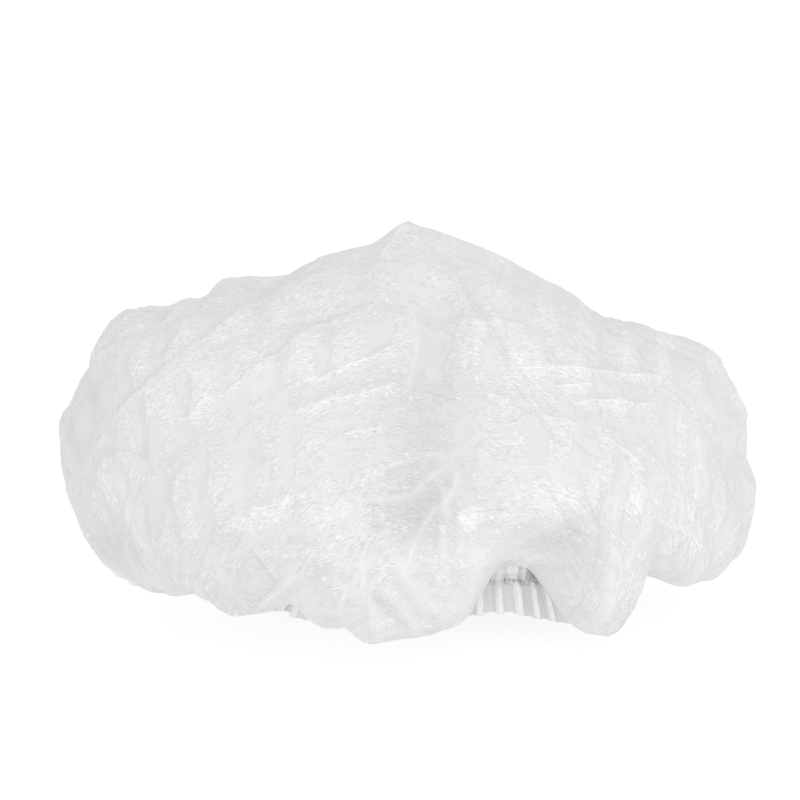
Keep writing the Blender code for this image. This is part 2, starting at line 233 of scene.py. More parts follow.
CREASES = (
    Crease("back_left_edge", CreaseKind.LAP, 1.2, 2.4, ((-50, 99), (-59, 99), (-73, 94), (-82, 89), (-90, 81))),
    Crease("pleat_a", CreaseKind.LAP, 1.6, 2.4,
           ((-16, 109), (-24, 107), (-37, 101), (-50, 94), (-59, 88), (-68, 81), (-79, 71), (-88, 59))),
    Crease("pleat_b", CreaseKind.LAP, 1.6, 2.4, ((-10, 99), (-18, 95), (-29, 90), (-37, 84), (-45, 78), (-51, 72))),
    Crease("pleat_b_end", CreaseKind.RIDGE, 0.8, 1.8, ((-46, 76), (-51, 72), (-58, 70), (-62, 65), (-71, 63))),
    Crease("pleat_c", CreaseKind.RIDGE, 1.0, 1.8, ((-31, 76), (-25, 76), (-18, 79), (-10, 82), (-3, 86))),
    Crease("pleat_c_low", CreaseKind.RIDGE, 1.0, 1.8, ((-33, 66), (-24, 69), (-13, 71), (-2, 75))),
    Crease("pleat_c_lowest", CreaseKind.RIDGE, 0.8, 1.7, ((-34, 55), (-24, 59), (-13, 61), (-5, 62))),
    Crease("pleat_c_side", CreaseKind.HOLLOW, 0.9, 2.6, ((-40, 80), (-35, 74), (-34, 67))),
    Crease("pleat_d", CreaseKind.RIDGE, 1.3, 1.9,
           ((-52, 38), (-46, 39), (-36, 41), (-30, 43), (-22, 45), (-13, 47), (-6, 51), (3, 54))),
    Crease("puff_strip_a", CreaseKind.HOLLOW, 0.9, 2.6, ((-52, 57), (-45, 55), (-40, 50), (-39, 44))),
    Crease("puff_strip_b", CreaseKind.RIDGE, 0.7, 1.7, ((-32, 54), (-31, 49), (-35, 41), (-35, 38))),
    Crease("left_fold", CreaseKind.LAP, 1.0, 2.4, ((-73, 52), (-77, 55), (-82, 56), (-86, 54), (-88, 50), (-89, 45))),
    Crease("left_low_ridge", CreaseKind.RIB, 0.7, 2.4, ((-82, 50), (-80, 37), (-71, 24))),
    Crease("left_low_hollow", CreaseKind.HOLLOW, 1.6, 4.0, ((-69, 50), (-71, 41), (-73, 31))),
    Crease("right_line_a", CreaseKind.RIDGE, 1.0, 1.7, ((30, 79), (41, 79), (52, 78), (66, 77), (75, 77))),
    Crease("right_line_b", CreaseKind.RIDGE, 0.9, 1.6, ((42, 74), (47, 74), (53, 74))),
    Crease("right_line_c", CreaseKind.RIDGE, 1.0, 1.7, ((47, 69), (54, 70), (60, 69), (71, 68))),
    Crease("right_line_d", CreaseKind.RIDGE, 0.9, 1.6, ((28, 69), (25, 72), (22, 71))),
    Crease("right_line_e", CreaseKind.RIDGE, 1.0, 1.7, ((49, 58), (56, 59), (61, 56), (64, 53), (67, 49))),
    Crease("right_line_f", CreaseKind.RIDGE, 0.7, 1.6, ((65, 55), (68, 58), (71, 59))),
    Crease("right_end_bend", CreaseKind.HOLLOW, 1.6, 3.4, ((87, 81), (87, 75), (93, 65))),
    Crease("right_end_low", CreaseKind.HOLLOW, 1.5, 3.4, ((96, 59), (92, 50), (94, 39))),
    Crease("diagonal_upper", CreaseKind.GROOVE, 0.6, 1.8,
           ((0, 120), (7, 113), (12, 108), (21, 96), (29, 82), (34, 76), (39, 68), (49, 57), (59, 48))),
    Crease("diagonal_lower", CreaseKind.GROOVE, 0.5, 1.8,
           ((47, 55), (40, 61), (35, 69), (29, 78), (23, 90), (16, 101), (13, 104))),
    Crease("peak_ridge", CreaseKind.RIDGE, 1.6, 2.4, ((-1, 121), (-4, 116), (-8, 110))),
    Crease("leaf_left", CreaseKind.GROOVE, 1.1, 2.2,
           ((59, 48), (57, 43), (55, 37), (55, 30), (53, 21), (49, 12), (44, 7))),
    Crease("leaf_right", CreaseKind.GROOVE, 0.9, 2.0, ((64, 27), (61, 32), (62, 36), (63, 41), (63, 43), (60, 47))),
    Crease("leaf_middle", CreaseKind.RIB, 0.7, 3.0, ((60, 44), (58, 33), (58, 20), (55, 7))),
    Crease("leaf_cross", CreaseKind.RIB, 0.5, 1.5, ((49, 32), (54, 29), (60, 26), (63, 21))),
    Crease("leaf_inner", CreaseKind.RIB, 0.6, 1.6, ((70, 35), (66, 30), (63, 24), (59, 16), (55, 5))),
    Crease("flap_side", CreaseKind.RIDGE, 0.6, 1.6, ((71, 36), (78, 33), (84, 28))),
    Crease("puff_crease_a", CreaseKind.GROOVE, 0.7, 1.8, ((40, 46), (44, 39), (46, 34), (49, 32), (54, 30))),
    Crease("puff_crease_b", CreaseKind.GROOVE, 0.7, 1.8, ((49, 50), (51, 43), (53, 38), (54, 32))),
    Crease("central_valley", CreaseKind.HOLLOW, 1.7, 8.0, ((9, 103), (9, 87), (7, 72), (7, 59))),
    Crease("central_side", CreaseKind.RIB, 0.8, 2.4, ((1, 99), (3, 86), (-0, 72))),
    Crease("knot_left", CreaseKind.RIB, 1.3, 1.8, ((12, 51), (7, 49), (1, 43), (-11, 41))),
    Crease("knot_middle", CreaseKind.RIB, 1.3, 1.8,
           ((11, 53), (14, 49), (12, 43), (7, 39), (4, 34), (1, 28), (0, 22))),
    Crease("knot_right", CreaseKind.RIB, 1.2, 1.8, ((7, 48), (10, 44), (11, 38), (10, 30), (10, 23))),
    Crease("knot_over", CreaseKind.RIB, 0.9, 1.8, ((3, 53), (7, 55), (11, 53), (16, 57), (21, 61))),
    Crease("hollow_edge", CreaseKind.GROOVE, 1.2, 2.2, ((-10, 41), (-10, 35), (-8, 32))),
    Crease("facet_left", CreaseKind.RIB, 0.6, 1.6, ((-55, 24), (-50, 17), (-46, 12))),
    Crease("facet_top", CreaseKind.RIB, 0.5, 1.6, ((-55, 24), (-45, 29), (-44, 33), (-51, 35))),
    Crease("facet_right", CreaseKind.LAP, 1.2, 2.0, ((-45, 29), (-41, 24), (-37, 19), (-45, 11))),
    Crease("triangle_left", CreaseKind.RIB, 0.8, 1.8, ((-44, 11), (-35, 18), (-30, 25), (-26, 31))),
    Crease("triangle_top", CreaseKind.RIB, 0.8, 1.8, ((-35, 34), (-31, 33), (-25, 32))),
    Crease("triangle_inner", CreaseKind.RIB, 0.6, 1.6, ((-17, 19), (-20, 9))),
    Crease("drape_fold_a", CreaseKind.RIB, 1.4, 2.2, ((-25, 32), (-20, 25), (-13, 18), (-10, 11), (-7, 2))),
    Crease("drape_fold_a_side", CreaseKind.GROOVE, 0.8, 2.0, ((-4, 7), (-11, 15), (-18, 21))),
    Crease("drape_fold_b", CreaseKind.RIB, 1.3, 2.2, ((-11, 31), (-6, 29), (-3, 25), (1, 17), (7, 9))),
    Crease("drape_fold_c", CreaseKind.RIB, 1.1, 2.0, ((-11, 28), (-13, 24), (-12, 19), (-4, 14), (1, 7), (3, 2))),
    Crease("drape_fold_c_side", CreaseKind.GROOVE, 0.8, 2.0, ((-1, 4), (-5, 11), (-11, 16))),
    Crease("drape_fold_d", CreaseKind.RIB, 1.0, 2.0, ((2, 19), (5, 15), (11, 7))),
    Crease("puff_left", CreaseKind.HOLLOW, 1.4, 3.4, ((13, 41), (12, 33), (16, 24))),
    Crease("puff_under", CreaseKind.HOLLOW, 1.6, 3.6, ((21, 28), (32, 25), (44, 25), (52, 27))),
    Crease("puff_over", CreaseKind.RIB, 0.5, 3.0, ((21, 50), (27, 51), (38, 51), (48, 47))),
    Crease("window_left_roll", CreaseKind.RIDGE, 1.2, 2.2, ((14, 29), (16, 20), (18, 13))),
)


@dataclass(frozen=True)
class PaintedShade:
    """A broad patch painted lighter, above zero, or darker: painted light and shade where the cap's puffs, hollows,
    undersides and ends catch or lose the light, partly standing for the layers that lie behind it.

    Across, up, wide and tall are in hundredths of the cap's half width, and turn is in degrees.
    """

    name: str
    across: float
    up: float
    wide: float
    tall: float
    turn: float
    tone: float


# Painted light and shade, patch by patch, in the cloth's colour.
PAINTED_SHADES = (
    PaintedShade("centre", 4.0, 60.0, 12.0, 26.0, 5.0, -0.19),
    PaintedShade("hollow", 0.5, 36.0, 10.0, 8.5, 25.0, -0.24),
    PaintedShade("left_end", -94.0, 60.0, 6.0, 20.0, -10.0, -0.06),
    PaintedShade("left_low_corner", -87.0, 26.0, 8.0, 8.0, 0.0, -0.15),
    PaintedShade("left_side", -80.0, 42.0, 16.0, 22.0, 0.0, -0.07),
    PaintedShade("left_facet", -48.0, 16.0, 9.0, 7.0, 0.0, -0.16),
    PaintedShade("under_puff", 44.0, 29.0, 9.0, 5.0, 0.0, -0.09),
    PaintedShade("puff", 36.0, 44.0, 13.0, 4.0, 0.0, 0.06),
    PaintedShade("pleat_d_end", -18.0, 37.0, 8.0, 4.5, 10.0, 0.12),
    PaintedShade("knot", 16.5, 36.0, 3.0, 4.5, 0.0, 0.16),
    PaintedShade("right_side", 81.0, 62.0, 5.0, 12.0, 0.0, 0.08),
    PaintedShade("right_low", 67.0, 41.0, 8.0, 6.0, 0.0, 0.07),
    PaintedShade("flap", 53.0, 13.0, 9.0, 6.0, 0.0, 0.04),
    PaintedShade("left_drape", -18.0, 28.0, 9.0, 7.0, 0.0, -0.10),
    PaintedShade("upper_left_middle", -22.0, 88.0, 12.0, 7.0, 20.0, -0.06),
    PaintedShade("beside_flap", 45.0, 17.0, 6.0, 7.0, 0.0, 0.12),
    PaintedShade("over_window", 33.0, 21.0, 13.0, 9.0, 0.0, 0.30),
    PaintedShade("beside_window", 15.0, 11.0, 7.0, 6.0, 0.0, 0.08),
)


@dataclass(frozen=True)
class Cover:
    """A patch where the cloth lies doubled, above zero, or single and thin, below zero, as seen from the front. The
    darker colour of the patches on the undersides and low edges is painted shade.

    Across, up, wide and tall are in hundredths of the cap's half width, and turn is in degrees.
    """

    name: str
    across: float
    up: float
    wide: float
    tall: float
    turn: float
    layers: float


COVERS = (
    Cover("left_edge_band", -92.0, 64.0, 5.0, 16.0, -22.0, -0.8),
    Cover("left_inner_strip", -72.5, 57.0, 3.0, 8.0, -25.0, -0.8),
    Cover("left_lower_strip", -72.0, 39.0, 3.5, 8.0, -5.0, -0.7),
    Cover("left_pleat_gap", -46.0, 71.5, 2.5, 5.0, -40.0, -0.8),
    Cover("front_hollow", -0.5, 36.0, 9.0, 8.0, 20.0, -0.25),
    Cover("right_underside", 78.0, 20.0, 9.0, 4.0, -15.0, -0.5),
    Cover("left_underside", -82.0, 26.0, 8.0, 5.0, -35.0, -0.8),
    Cover("hem_underside_left", -26.0, 7.0, 8.0, 3.0, -12.0, -0.9),
    Cover("puff_above_window", 37.0, 43.0, 12.0, 4.5, 0.0, 0.45),
    Cover("bright_knot", 18.0, 36.5, 3.0, 3.5, 0.0, 1.0),
    Cover("bright_flap", 65.0, 41.0, 3.0, 4.0, 0.0, 0.9),
    Cover("pleat_d_band", -43.0, 36.0, 10.0, 3.0, 17.0, 0.8),
    Cover("right_puff_a", 38.0, 83.0, 2.6, 8.0, 0.0, 0.2),
    Cover("right_puff_b", 49.0, 78.0, 2.6, 8.0, 0.0, 0.1),
    Cover("right_puff_c", 63.5, 82.0, 2.6, 8.0, 0.0, 0.6),
    Cover("right_puff_d", 73.0, 82.0, 2.6, 8.0, 0.0, 0.6),
    Cover("right_band", 62.0, 66.5, 12.0, 3.0, 0.0, 0.4),
    Cover("top_band", -35.0, 94.0, 14.0, 4.0, 27.0, 0.4),
    Cover("drape_left", -18.0, 22.0, 8.0, 8.0, -45.0, 0.1),
)


def smooth_step(share: np.ndarray) -> np.ndarray:
    """Rises from 0 to 1 with level ends."""
    share = np.clip(share, 0.0, 1.0)
    return share * share * (3.0 - 2.0 * share)


def outward_way(azimuth: np.ndarray) -> np.ndarray:
    """The level way out from the middle at an azimuth in radians."""
    return np.stack([np.cos(azimuth), np.sin(azimuth), 0 * azimuth], axis=-1)


def through(stations: Sequence[float], points: np.ndarray, at: np.ndarray) -> np.ndarray:
    """Reads a smooth curve between given points.

    Args:
        stations: where the given points lie along the curve.
        points: the given points, as (station, ..., axis).
        at: where the curve is read, one place for each curve.

    Returns:
        One point for each curve.
    """
    place = np.asarray(stations, float)
    span = np.diff(place)
    shape = (-1,) + (1,) * (points.ndim - 1)
    slope = np.diff(points, axis=0) / span.reshape(shape)
    before, after = span[:-1].reshape(shape), span[1:].reshape(shape)
    inner = (slope[:-1] * after + slope[1:] * before) / (before + after)
    tangent = np.concatenate([slope[:1], inner, slope[-1:]])
    left = np.clip(np.searchsorted(place, at, side="right") - 1, 0, len(span) - 1)
    width = span[left]
    share = ((at - place[left]) / width)[:, None]
    width = width[:, None]
    each = np.arange(len(at))
    start, end = points[left, each], points[left + 1, each]
    leave, arrive = tangent[left, each] * width, tangent[left + 1, each] * width
    square, cube = share**2, share**3
    return (start * (2 * cube - 3 * square + 1) + leave * (cube - 2 * square + share)
            + end * (3 * square - 2 * cube) + arrive * (cube - square))


@dataclass(frozen=True)
class SmoothNoise:
    """Seeded smooth noise between -1 and 1 over points in space."""

    seed: int

    def at(self, points: np.ndarray, size: float) -> np.ndarray:
        """Reads the noise.

        Args:
            points: where it is read, as (point, axis).
            size: the width of its swells in metres.

        Returns:
            One value for each point.
        """
        table = np.random.default_rng(self.seed).uniform(-1.0, 1.0, 4096)
        place = points / size + 64.0
        cell = np.floor(place).astype(np.int64)
        fade = place - cell
        fade = fade * fade * (3.0 - 2.0 * fade)
        total = np.zeros(len(points))
        for corner in range(8):
            step = np.array([corner & 1, corner >> 1 & 1, corner >> 2 & 1])
            near = cell + step
            pick = (near[:, 0] * 73856093 ^ near[:, 1] * 19349663 ^ near[:, 2] * 83492791) & 4095
            total += table[pick] * np.prod(np.where(step, fade, 1.0 - fade), axis=1)
        return total

    def ridges(self, points: np.ndarray, size: float) -> np.ndarray:
        """Noise folded into sharp ridges, between -1 and 1."""
        return 1.0 - 2.0 * np.sqrt(np.abs(self.at(points, size)))


@dataclass(frozen=True)
class FrontView:
    """The camera's place at the front of the cap, and where things show in its picture."""

    distance: float = 1.105
    elevation: float = 11.0
    target: tuple[float, float, float] = (-0.003, 0.0, 0.088)
    lens: float = 120.0
    sensor: float = 36.0
    middle_across: float = 0.0175
    floor_down: float = 0.6125
    half_width: float = 0.875

    def back(self) -> np.ndarray:
        """The way from the target to the camera."""
        turn = math.radians(self.elevation)
        return np.array([0.0, -math.cos(turn), math.sin(turn)])

    def shares(self, points: np.ndarray) -> tuple[np.ndarray, np.ndarray]:
        """Where points show in the picture.

        Args:
            points: points of the cap, as (point, axis).

        Returns:
            Across from the cap's middle and up from the floor line, in hundredths of the cap's half width.
        """
        back = self.back()
        up = np.array([0.0, math.sin(math.radians(self.elevation)), math.cos(math.radians(self.elevation))])
        from_eye = points - (np.array(self.target) + back * self.distance)
        far = -(from_eye @ back)
        scale = 2.0 * self.lens / self.sensor
        across = from_eye[:, 0] / far * scale - self.middle_across
        rise = (from_eye @ up) / far * scale + self.floor_down
        return across * 100.0 / self.half_width, rise * 100.0 / self.half_width

    def facing(self, outward: np.ndarray) -> np.ndarray:
        """1 where the cloth faces the camera and 0 where it faces away."""
        return smooth_step(outward @ self.back() * 4.0 + 0.5)


@dataclass(frozen=True)
class CapForm:
    """The smooth form of the cap, with the sizes that its pieces share.

    In the window the gathers stand in an even row: window_gather is the azimuth of one of them and window_pitch the
    angle from one to the next, in degrees, and window_count is how many gathers lie before it.
    """

    width: float = 0.284
    depth: float = 0.216
    peak: float = 0.1640
    puff_centre: float = 0.42
    front_to_back: float = 0.2
    opening_width: float = 0.136
    opening_depth: float = 0.084
    opening_shift: float = 0.015
    neck_rise: float = 0.0075
    neck_spread: float = 0.0020
    pleat_fade: float = 0.16
    hem_drop: float = 0.0175
    hem_flare: float = 0.0035
    crown_wall: float = 0.0012
    elastic_gap: float = 0.0006
    gathers: int = 58
    gather_swing: float = 0.0013
    edge_rounding: float = 1.6
    edge_blend: float = 8.0
    window_tuck: float = 0.93
    window_tuck_flatness: float = 4.0
    window_line_drop: float = 0.0036
    window_gather: float = 288.2
    window_pitch: float = 6.8
    window_count: int = 46
    window_row_flatness: float = 6.0
    stations: tuple[float, ...] = (0.0, 0.05, 0.14, 0.30, 0.53, 0.77, 1.0)

    def frame_shift(self) -> np.ndarray:
        """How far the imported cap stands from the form's own axes, read from its elastic."""
        low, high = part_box("elastic_band")
        return np.array([(low.x + high.x) / 2 - self.opening_shift, (low.y + high.y) / 2, 0.0])

    def round_the_crown(self, column: str, azimuth: np.ndarray) -> np.ndarray:
        """Reads a column of SECTIONS at any azimuth in radians, smooth and closed.

        Args:
            column: a name from SECTION_COLUMNS.
            azimuth: where it is read, in radians.

        Returns:
            The column's values there.
        """
        rows = len(SECTIONS)
        values = np.array([row[SECTION_COLUMNS.index(column)] for row in SECTIONS])
        place = np.mod(azimuth, 2 * np.pi) / (2 * np.pi) * rows
        left = np.floor(place).astype(int)
        share = place - left
        a, b, c, d = (values[np.mod(left + step, rows)] for step in (-1, 0, 1, 2))
        bend = 2 * a - 5 * b + 4 * c - d
        return b + 0.5 * share * (c - a + share * (bend + share * (3 * (b - c) + d - a)))

    def front_edge(self, azimuth: np.ndarray, height: np.ndarray) -> np.ndarray:
        """Puts the table FRONT_EDGE in place of the sections' heights across the front.

        Args:
            azimuth: where the edge is read, in radians.
            height: the sections' height there.

        Returns:
            The height of the lower edge.
        """
        turned = np.degrees(np.mod(azimuth, 2 * np.pi))
        places, heights = np.array(FRONT_EDGE).T
        near = np.linspace(-self.edge_rounding, self.edge_rounding, 5)
        drawn = sum(np.interp(turned + shift, places, heights) for shift in near) / len(near)
        begun = smooth_step((turned - places[0]) / self.edge_blend)
        unended = smooth_step((places[-1] - turned) / self.edge_blend)
        return height + (drawn - height) * begun * unended

    def felt(self, azimuth: np.ndarray, flare: Flare, flatness: float = 2.0) -> np.ndarray:
        """How much of a flare is felt at an azimuth, from 0 to 1."""
        away = np.angle(np.exp(1j * (azimuth - np.radians(flare.azimuth))))
        return np.exp(-(np.abs(away / np.radians(flare.half_angle)) ** flatness))

    def hem_lift(self, azimuth: np.ndarray) -> np.ndarray:
        """How far the hem is raised off the floor."""
        return self.hem_drop * sum(flare.lift * self.felt(azimuth, flare) for flare in FLARES)

    def gather_line(self, azimuth: np.ndarray) -> np.ndarray:
        """How high the gather line lies, which rises less than the hem in the window."""
        return self.hem_drop + self.hem_lift(azimuth) - self.window_line_drop * self.felt(azimuth, FRONT_WINDOW)

    def gather_phase(self, azimuth: np.ndarray) -> np.ndarray:
        """Where each azimuth lies in the row of gathers, in radians, uneven but for the gathers in the window.

        Args:
            azimuth: the azimuths, in radians.

        Returns:
            The phase, which is a whole number of turns on top of each gather.
        """
        uneven = (self.gathers * azimuth + 1.1 * np.sin(5 * azimuth + 0.6) + 0.8 * np.sin(11 * azimuth + 2.1)
                  + 0.5 * np.sin(17 * azimuth + 4.0))
        turned = np.degrees(np.mod(azimuth, 2 * np.pi))
        even = 2 * np.pi * ((turned - self.window_gather) / self.window_pitch + self.window_count)
        return uneven + (even - uneven) * self.felt(azimuth, FRONT_WINDOW, self.window_row_flatness)

    def opening_point(self, azimuth: np.ndarray, outward: np.ndarray | float, height: np.ndarray) -> np.ndarray:
        """A point this far outside the opening's ellipse, at this height.

        Args:
            azimuth: where it lies round the opening, in radians.
            outward: how far outside the ellipse it lies.
            height: how high it lies.

        Returns:
            The points, as (point, axis).
        """
        across = self.opening_shift + (self.opening_width / 2 + outward) * np.cos(azimuth)
        deep = (self.opening_depth / 2 + outward) * np.sin(azimuth)
        return np.stack([across, deep, height + 0 * azimuth], axis=-1)

    def crown_point(self, azimuth: np.ndarray, reach: np.ndarray | float, height: np.ndarray | float) -> np.ndarray:
        """A point of the crown at this share of its half width or half depth.

        Args:
            azimuth: where it lies round the crown, in radians.
            reach: the share of the half width or half depth.
            height: the share of the peak's height.

        Returns:
            The points, as (point, axis).
        """
        across = reach * self.width / 2 * np.cos(azimuth)
        deep = reach * self.depth / 2 * np.sin(azimuth)
        return np.stack([across, deep, height * self.peak + 0 * azimuth], axis=-1)

    def plain_crown(self, across: np.ndarray, deep: np.ndarray) -> tuple[np.ndarray, np.ndarray]:
        """The crown without pleats or folds, over a flat disc whose edge is the opening and whose centre is the peak.

        Args:
            across: place on the disc from left to right, from -1 to 1.
            deep: place on the disc from front to back, from -1 to 1.

        Returns:
            The points, and how far each has climbed from the opening to the peak.
        """
        azimuth = np.arctan2(deep, across)
        climb = 1.0 - np.clip(np.hypot(across, deep), 0.0, 1.0)
        line = self.gather_line(azimuth)
        points = [self.opening_point(azimuth, 0.0, line),
                  self.opening_point(azimuth, self.neck_spread, line + self.neck_rise)]
        for name in ("low", "wide", "shoulder", "slope"):
            reach = self.round_the_crown(name + "_reach", azimuth)
            height = self.round_the_crown(name + "_height", azimuth)
            if name == "low":
                height = self.front_edge(azimuth, height)
            points.append(self.crown_point(azimuth, reach, height))
        tuck = (self.window_tuck * self.felt(azimuth, TUCKED_FRONT, self.window_tuck_flatness))[:, None]
        points[2] = points[2] * (1 - tuck) + points[1] * tuck
        points.append(self.crown_point(azimuth, 0.0, 1.0))
        return through(self.stations, np.array(points), climb), climb

    def outward_of(self, points: np.ndarray) -> np.ndarray:
        """The way out of the cloth at each point, taken from an ellipsoid of the crown's size.

        Args:
            points: points of the crown, as (point, axis).

        Returns:
            One unit vector for each point.
        """
        half = np.array([self.width / 2, self.depth / 2, self.peak / 2])
        way = (points - np.array([0.0, 0.0, self.peak * self.puff_centre])) / half**2
        return way / np.linalg.norm(way, axis=1, keepdims=True)

    def folds(self, points: np.ndarray, climb: np.ndarray) -> np.ndarray:
        """Height of the broad folds and dents.

        Args:
            points: points of the plain crown, as (point, axis).
            climb: how far each has climbed from the opening to the peak.

        Returns:
            One height in metres for each point.
        """
        rise = np.zeros(len(points))
        half = self.width / 2
        for fold in FOLDS:
            right = points[:, 0] - fold.across * half
            up = points[:, 2] - fold.up * self.peak
            turn = np.radians(fold.turn)
            along = (right * np.cos(turn) + up * np.sin(turn)) / (fold.along * half)
            over = (up * np.cos(turn) - right * np.sin(turn)) / (fold.wide * half)
            felt = np.exp(-(along**2) - over**2)
            if fold.side:
                felt = felt * smooth_step(0.5 + fold.side * points[:, 1] / (self.depth * self.front_to_back))
            rise += fold.rise * half * felt
        return rise * smooth_step(climb / self.pleat_fade)


FORM = CapForm()
VIEW = FrontView()


class Wire:
    """A socket that takes part in Python expressions, which add Math nodes to its tree."""

    def __init__(self, work: "NodeWork", socket: bpy.types.NodeSocket) -> None:
        """Keeps the socket and the tree's maker."""
        self.work = work
        self.socket = socket

    def join(self, operation: str, first: "Wire | float", second: "Wire | float" = 0.0, clamp: bool = False) -> "Wire":
        """Adds a Math node.

        Args:
            operation: the node's operation.
            first: its first value.
            second: its second value.
            clamp: whether the result is kept from 0 to 1.

        Returns:
            The node's result.
        """
        made = self.work.node("ShaderNodeMath", {"operation": operation, "use_clamp": clamp}, {0: first, 1: second})
        return self.work.wire(made)

    def __add__(self, other: "Wire | float") -> "Wire":
        """Sum."""
        return self.join("ADD", self, other)

    def __radd__(self, other: float) -> "Wire":
        """Sum with a number first."""
        return self.join("ADD", other, self)

    def __sub__(self, other: "Wire | float") -> "Wire":
        """Difference."""
        return self.join("SUBTRACT", self, other)

    def __rsub__(self, other: float) -> "Wire":
        """Difference from a number."""
        return self.join("SUBTRACT", other, self)

    def __mul__(self, other: "Wire | float") -> "Wire":
        """Product."""
        return self.join("MULTIPLY", self, other)

    def __rmul__(self, other: float) -> "Wire":
        """Product with a number first."""
        return self.join("MULTIPLY", other, self)

    def sine(self) -> "Wire":
        """Sine of the value in radians."""
        return self.join("SINE", self)

    def size(self) -> "Wire":
        """The value without its sign."""
        return self.join("ABSOLUTE", self)

    def clipped(self) -> "Wire":
        """The value kept from 0 to 1."""
        return self.join("ADD", self, 0.0, clamp=True)

    def stepped(self, low: float, high: float) -> "Wire":
        """0 below low, 1 above high and smooth between them.

        Args:
            low: the value that gives 0.
            high: the value that gives 1.

        Returns:
            The node's result.
        """
        made = self.work.node(
            "ShaderNodeMapRange", {"interpolation_type": "SMOOTHSTEP"},
            {"Value": self, "From Min": low, "From Max": high, "To Min": 0.0, "To Max": 1.0})
        return self.work.wire(made)


class NodeWork:
    """Adds nodes to one tree."""

    def __init__(self, tree: bpy.types.NodeTree) -> None:
        """Keeps the tree."""
        self.tree = tree

    def node(self, kind: str, settings: dict[str, Any] | None = None,
             inputs: dict[Any, Any] | None = None) -> bpy.types.Node:
        """Adds one node.

        Args:
            kind: the node's type.
            settings: its settings by name, which are set first.
            inputs: a value or a link for each socket, by name or place.

        Returns:
            The node.
        """
        made = self.tree.nodes.new(kind)
        for name, value in (settings or {}).items():
            setattr(made, name, value)
        for name, value in (inputs or {}).items():
            if isinstance(value, Wire):
                self.tree.links.new(value.socket, made.inputs[name])
            else:
                made.inputs[name].default_value = value
        return made

    def wire(self, node: bpy.types.Node, output: int | str = 0) -> Wire:
        """One of a node's outputs, ready for expressions."""
        return Wire(self, node.outputs[output])

    def colour_between(self, share: Wire, low: Sequence[float], high: Sequence[float]) -> Wire:
        """A colour that goes from low to high as the share goes from 0 to 1.

        Args:
            share: how much of the high colour it holds.
            low: one colour.
            high: the other colour.

        Returns:
            The mixed colour.
        """
        made = self.node("ShaderNodeMix", {"data_type": "RGBA", "clamp_factor": True},
                         {0: share, 6: tuple(low) + (1.0,), 7: tuple(high) + (1.0,)})
        return self.wire(made, 2)


def empty_material(name: str) -> tuple[bpy.types.Material, NodeWork]:
    """A material without nodes, and what adds nodes to it.

    Args:
        name: the material's name.

    Returns:
        The material and its tree's maker.
    """
    material = bpy.data.materials.new(name)
    material.use_nodes = True
    material.node_tree.nodes.clear()
    return material, NodeWork(material.node_tree)


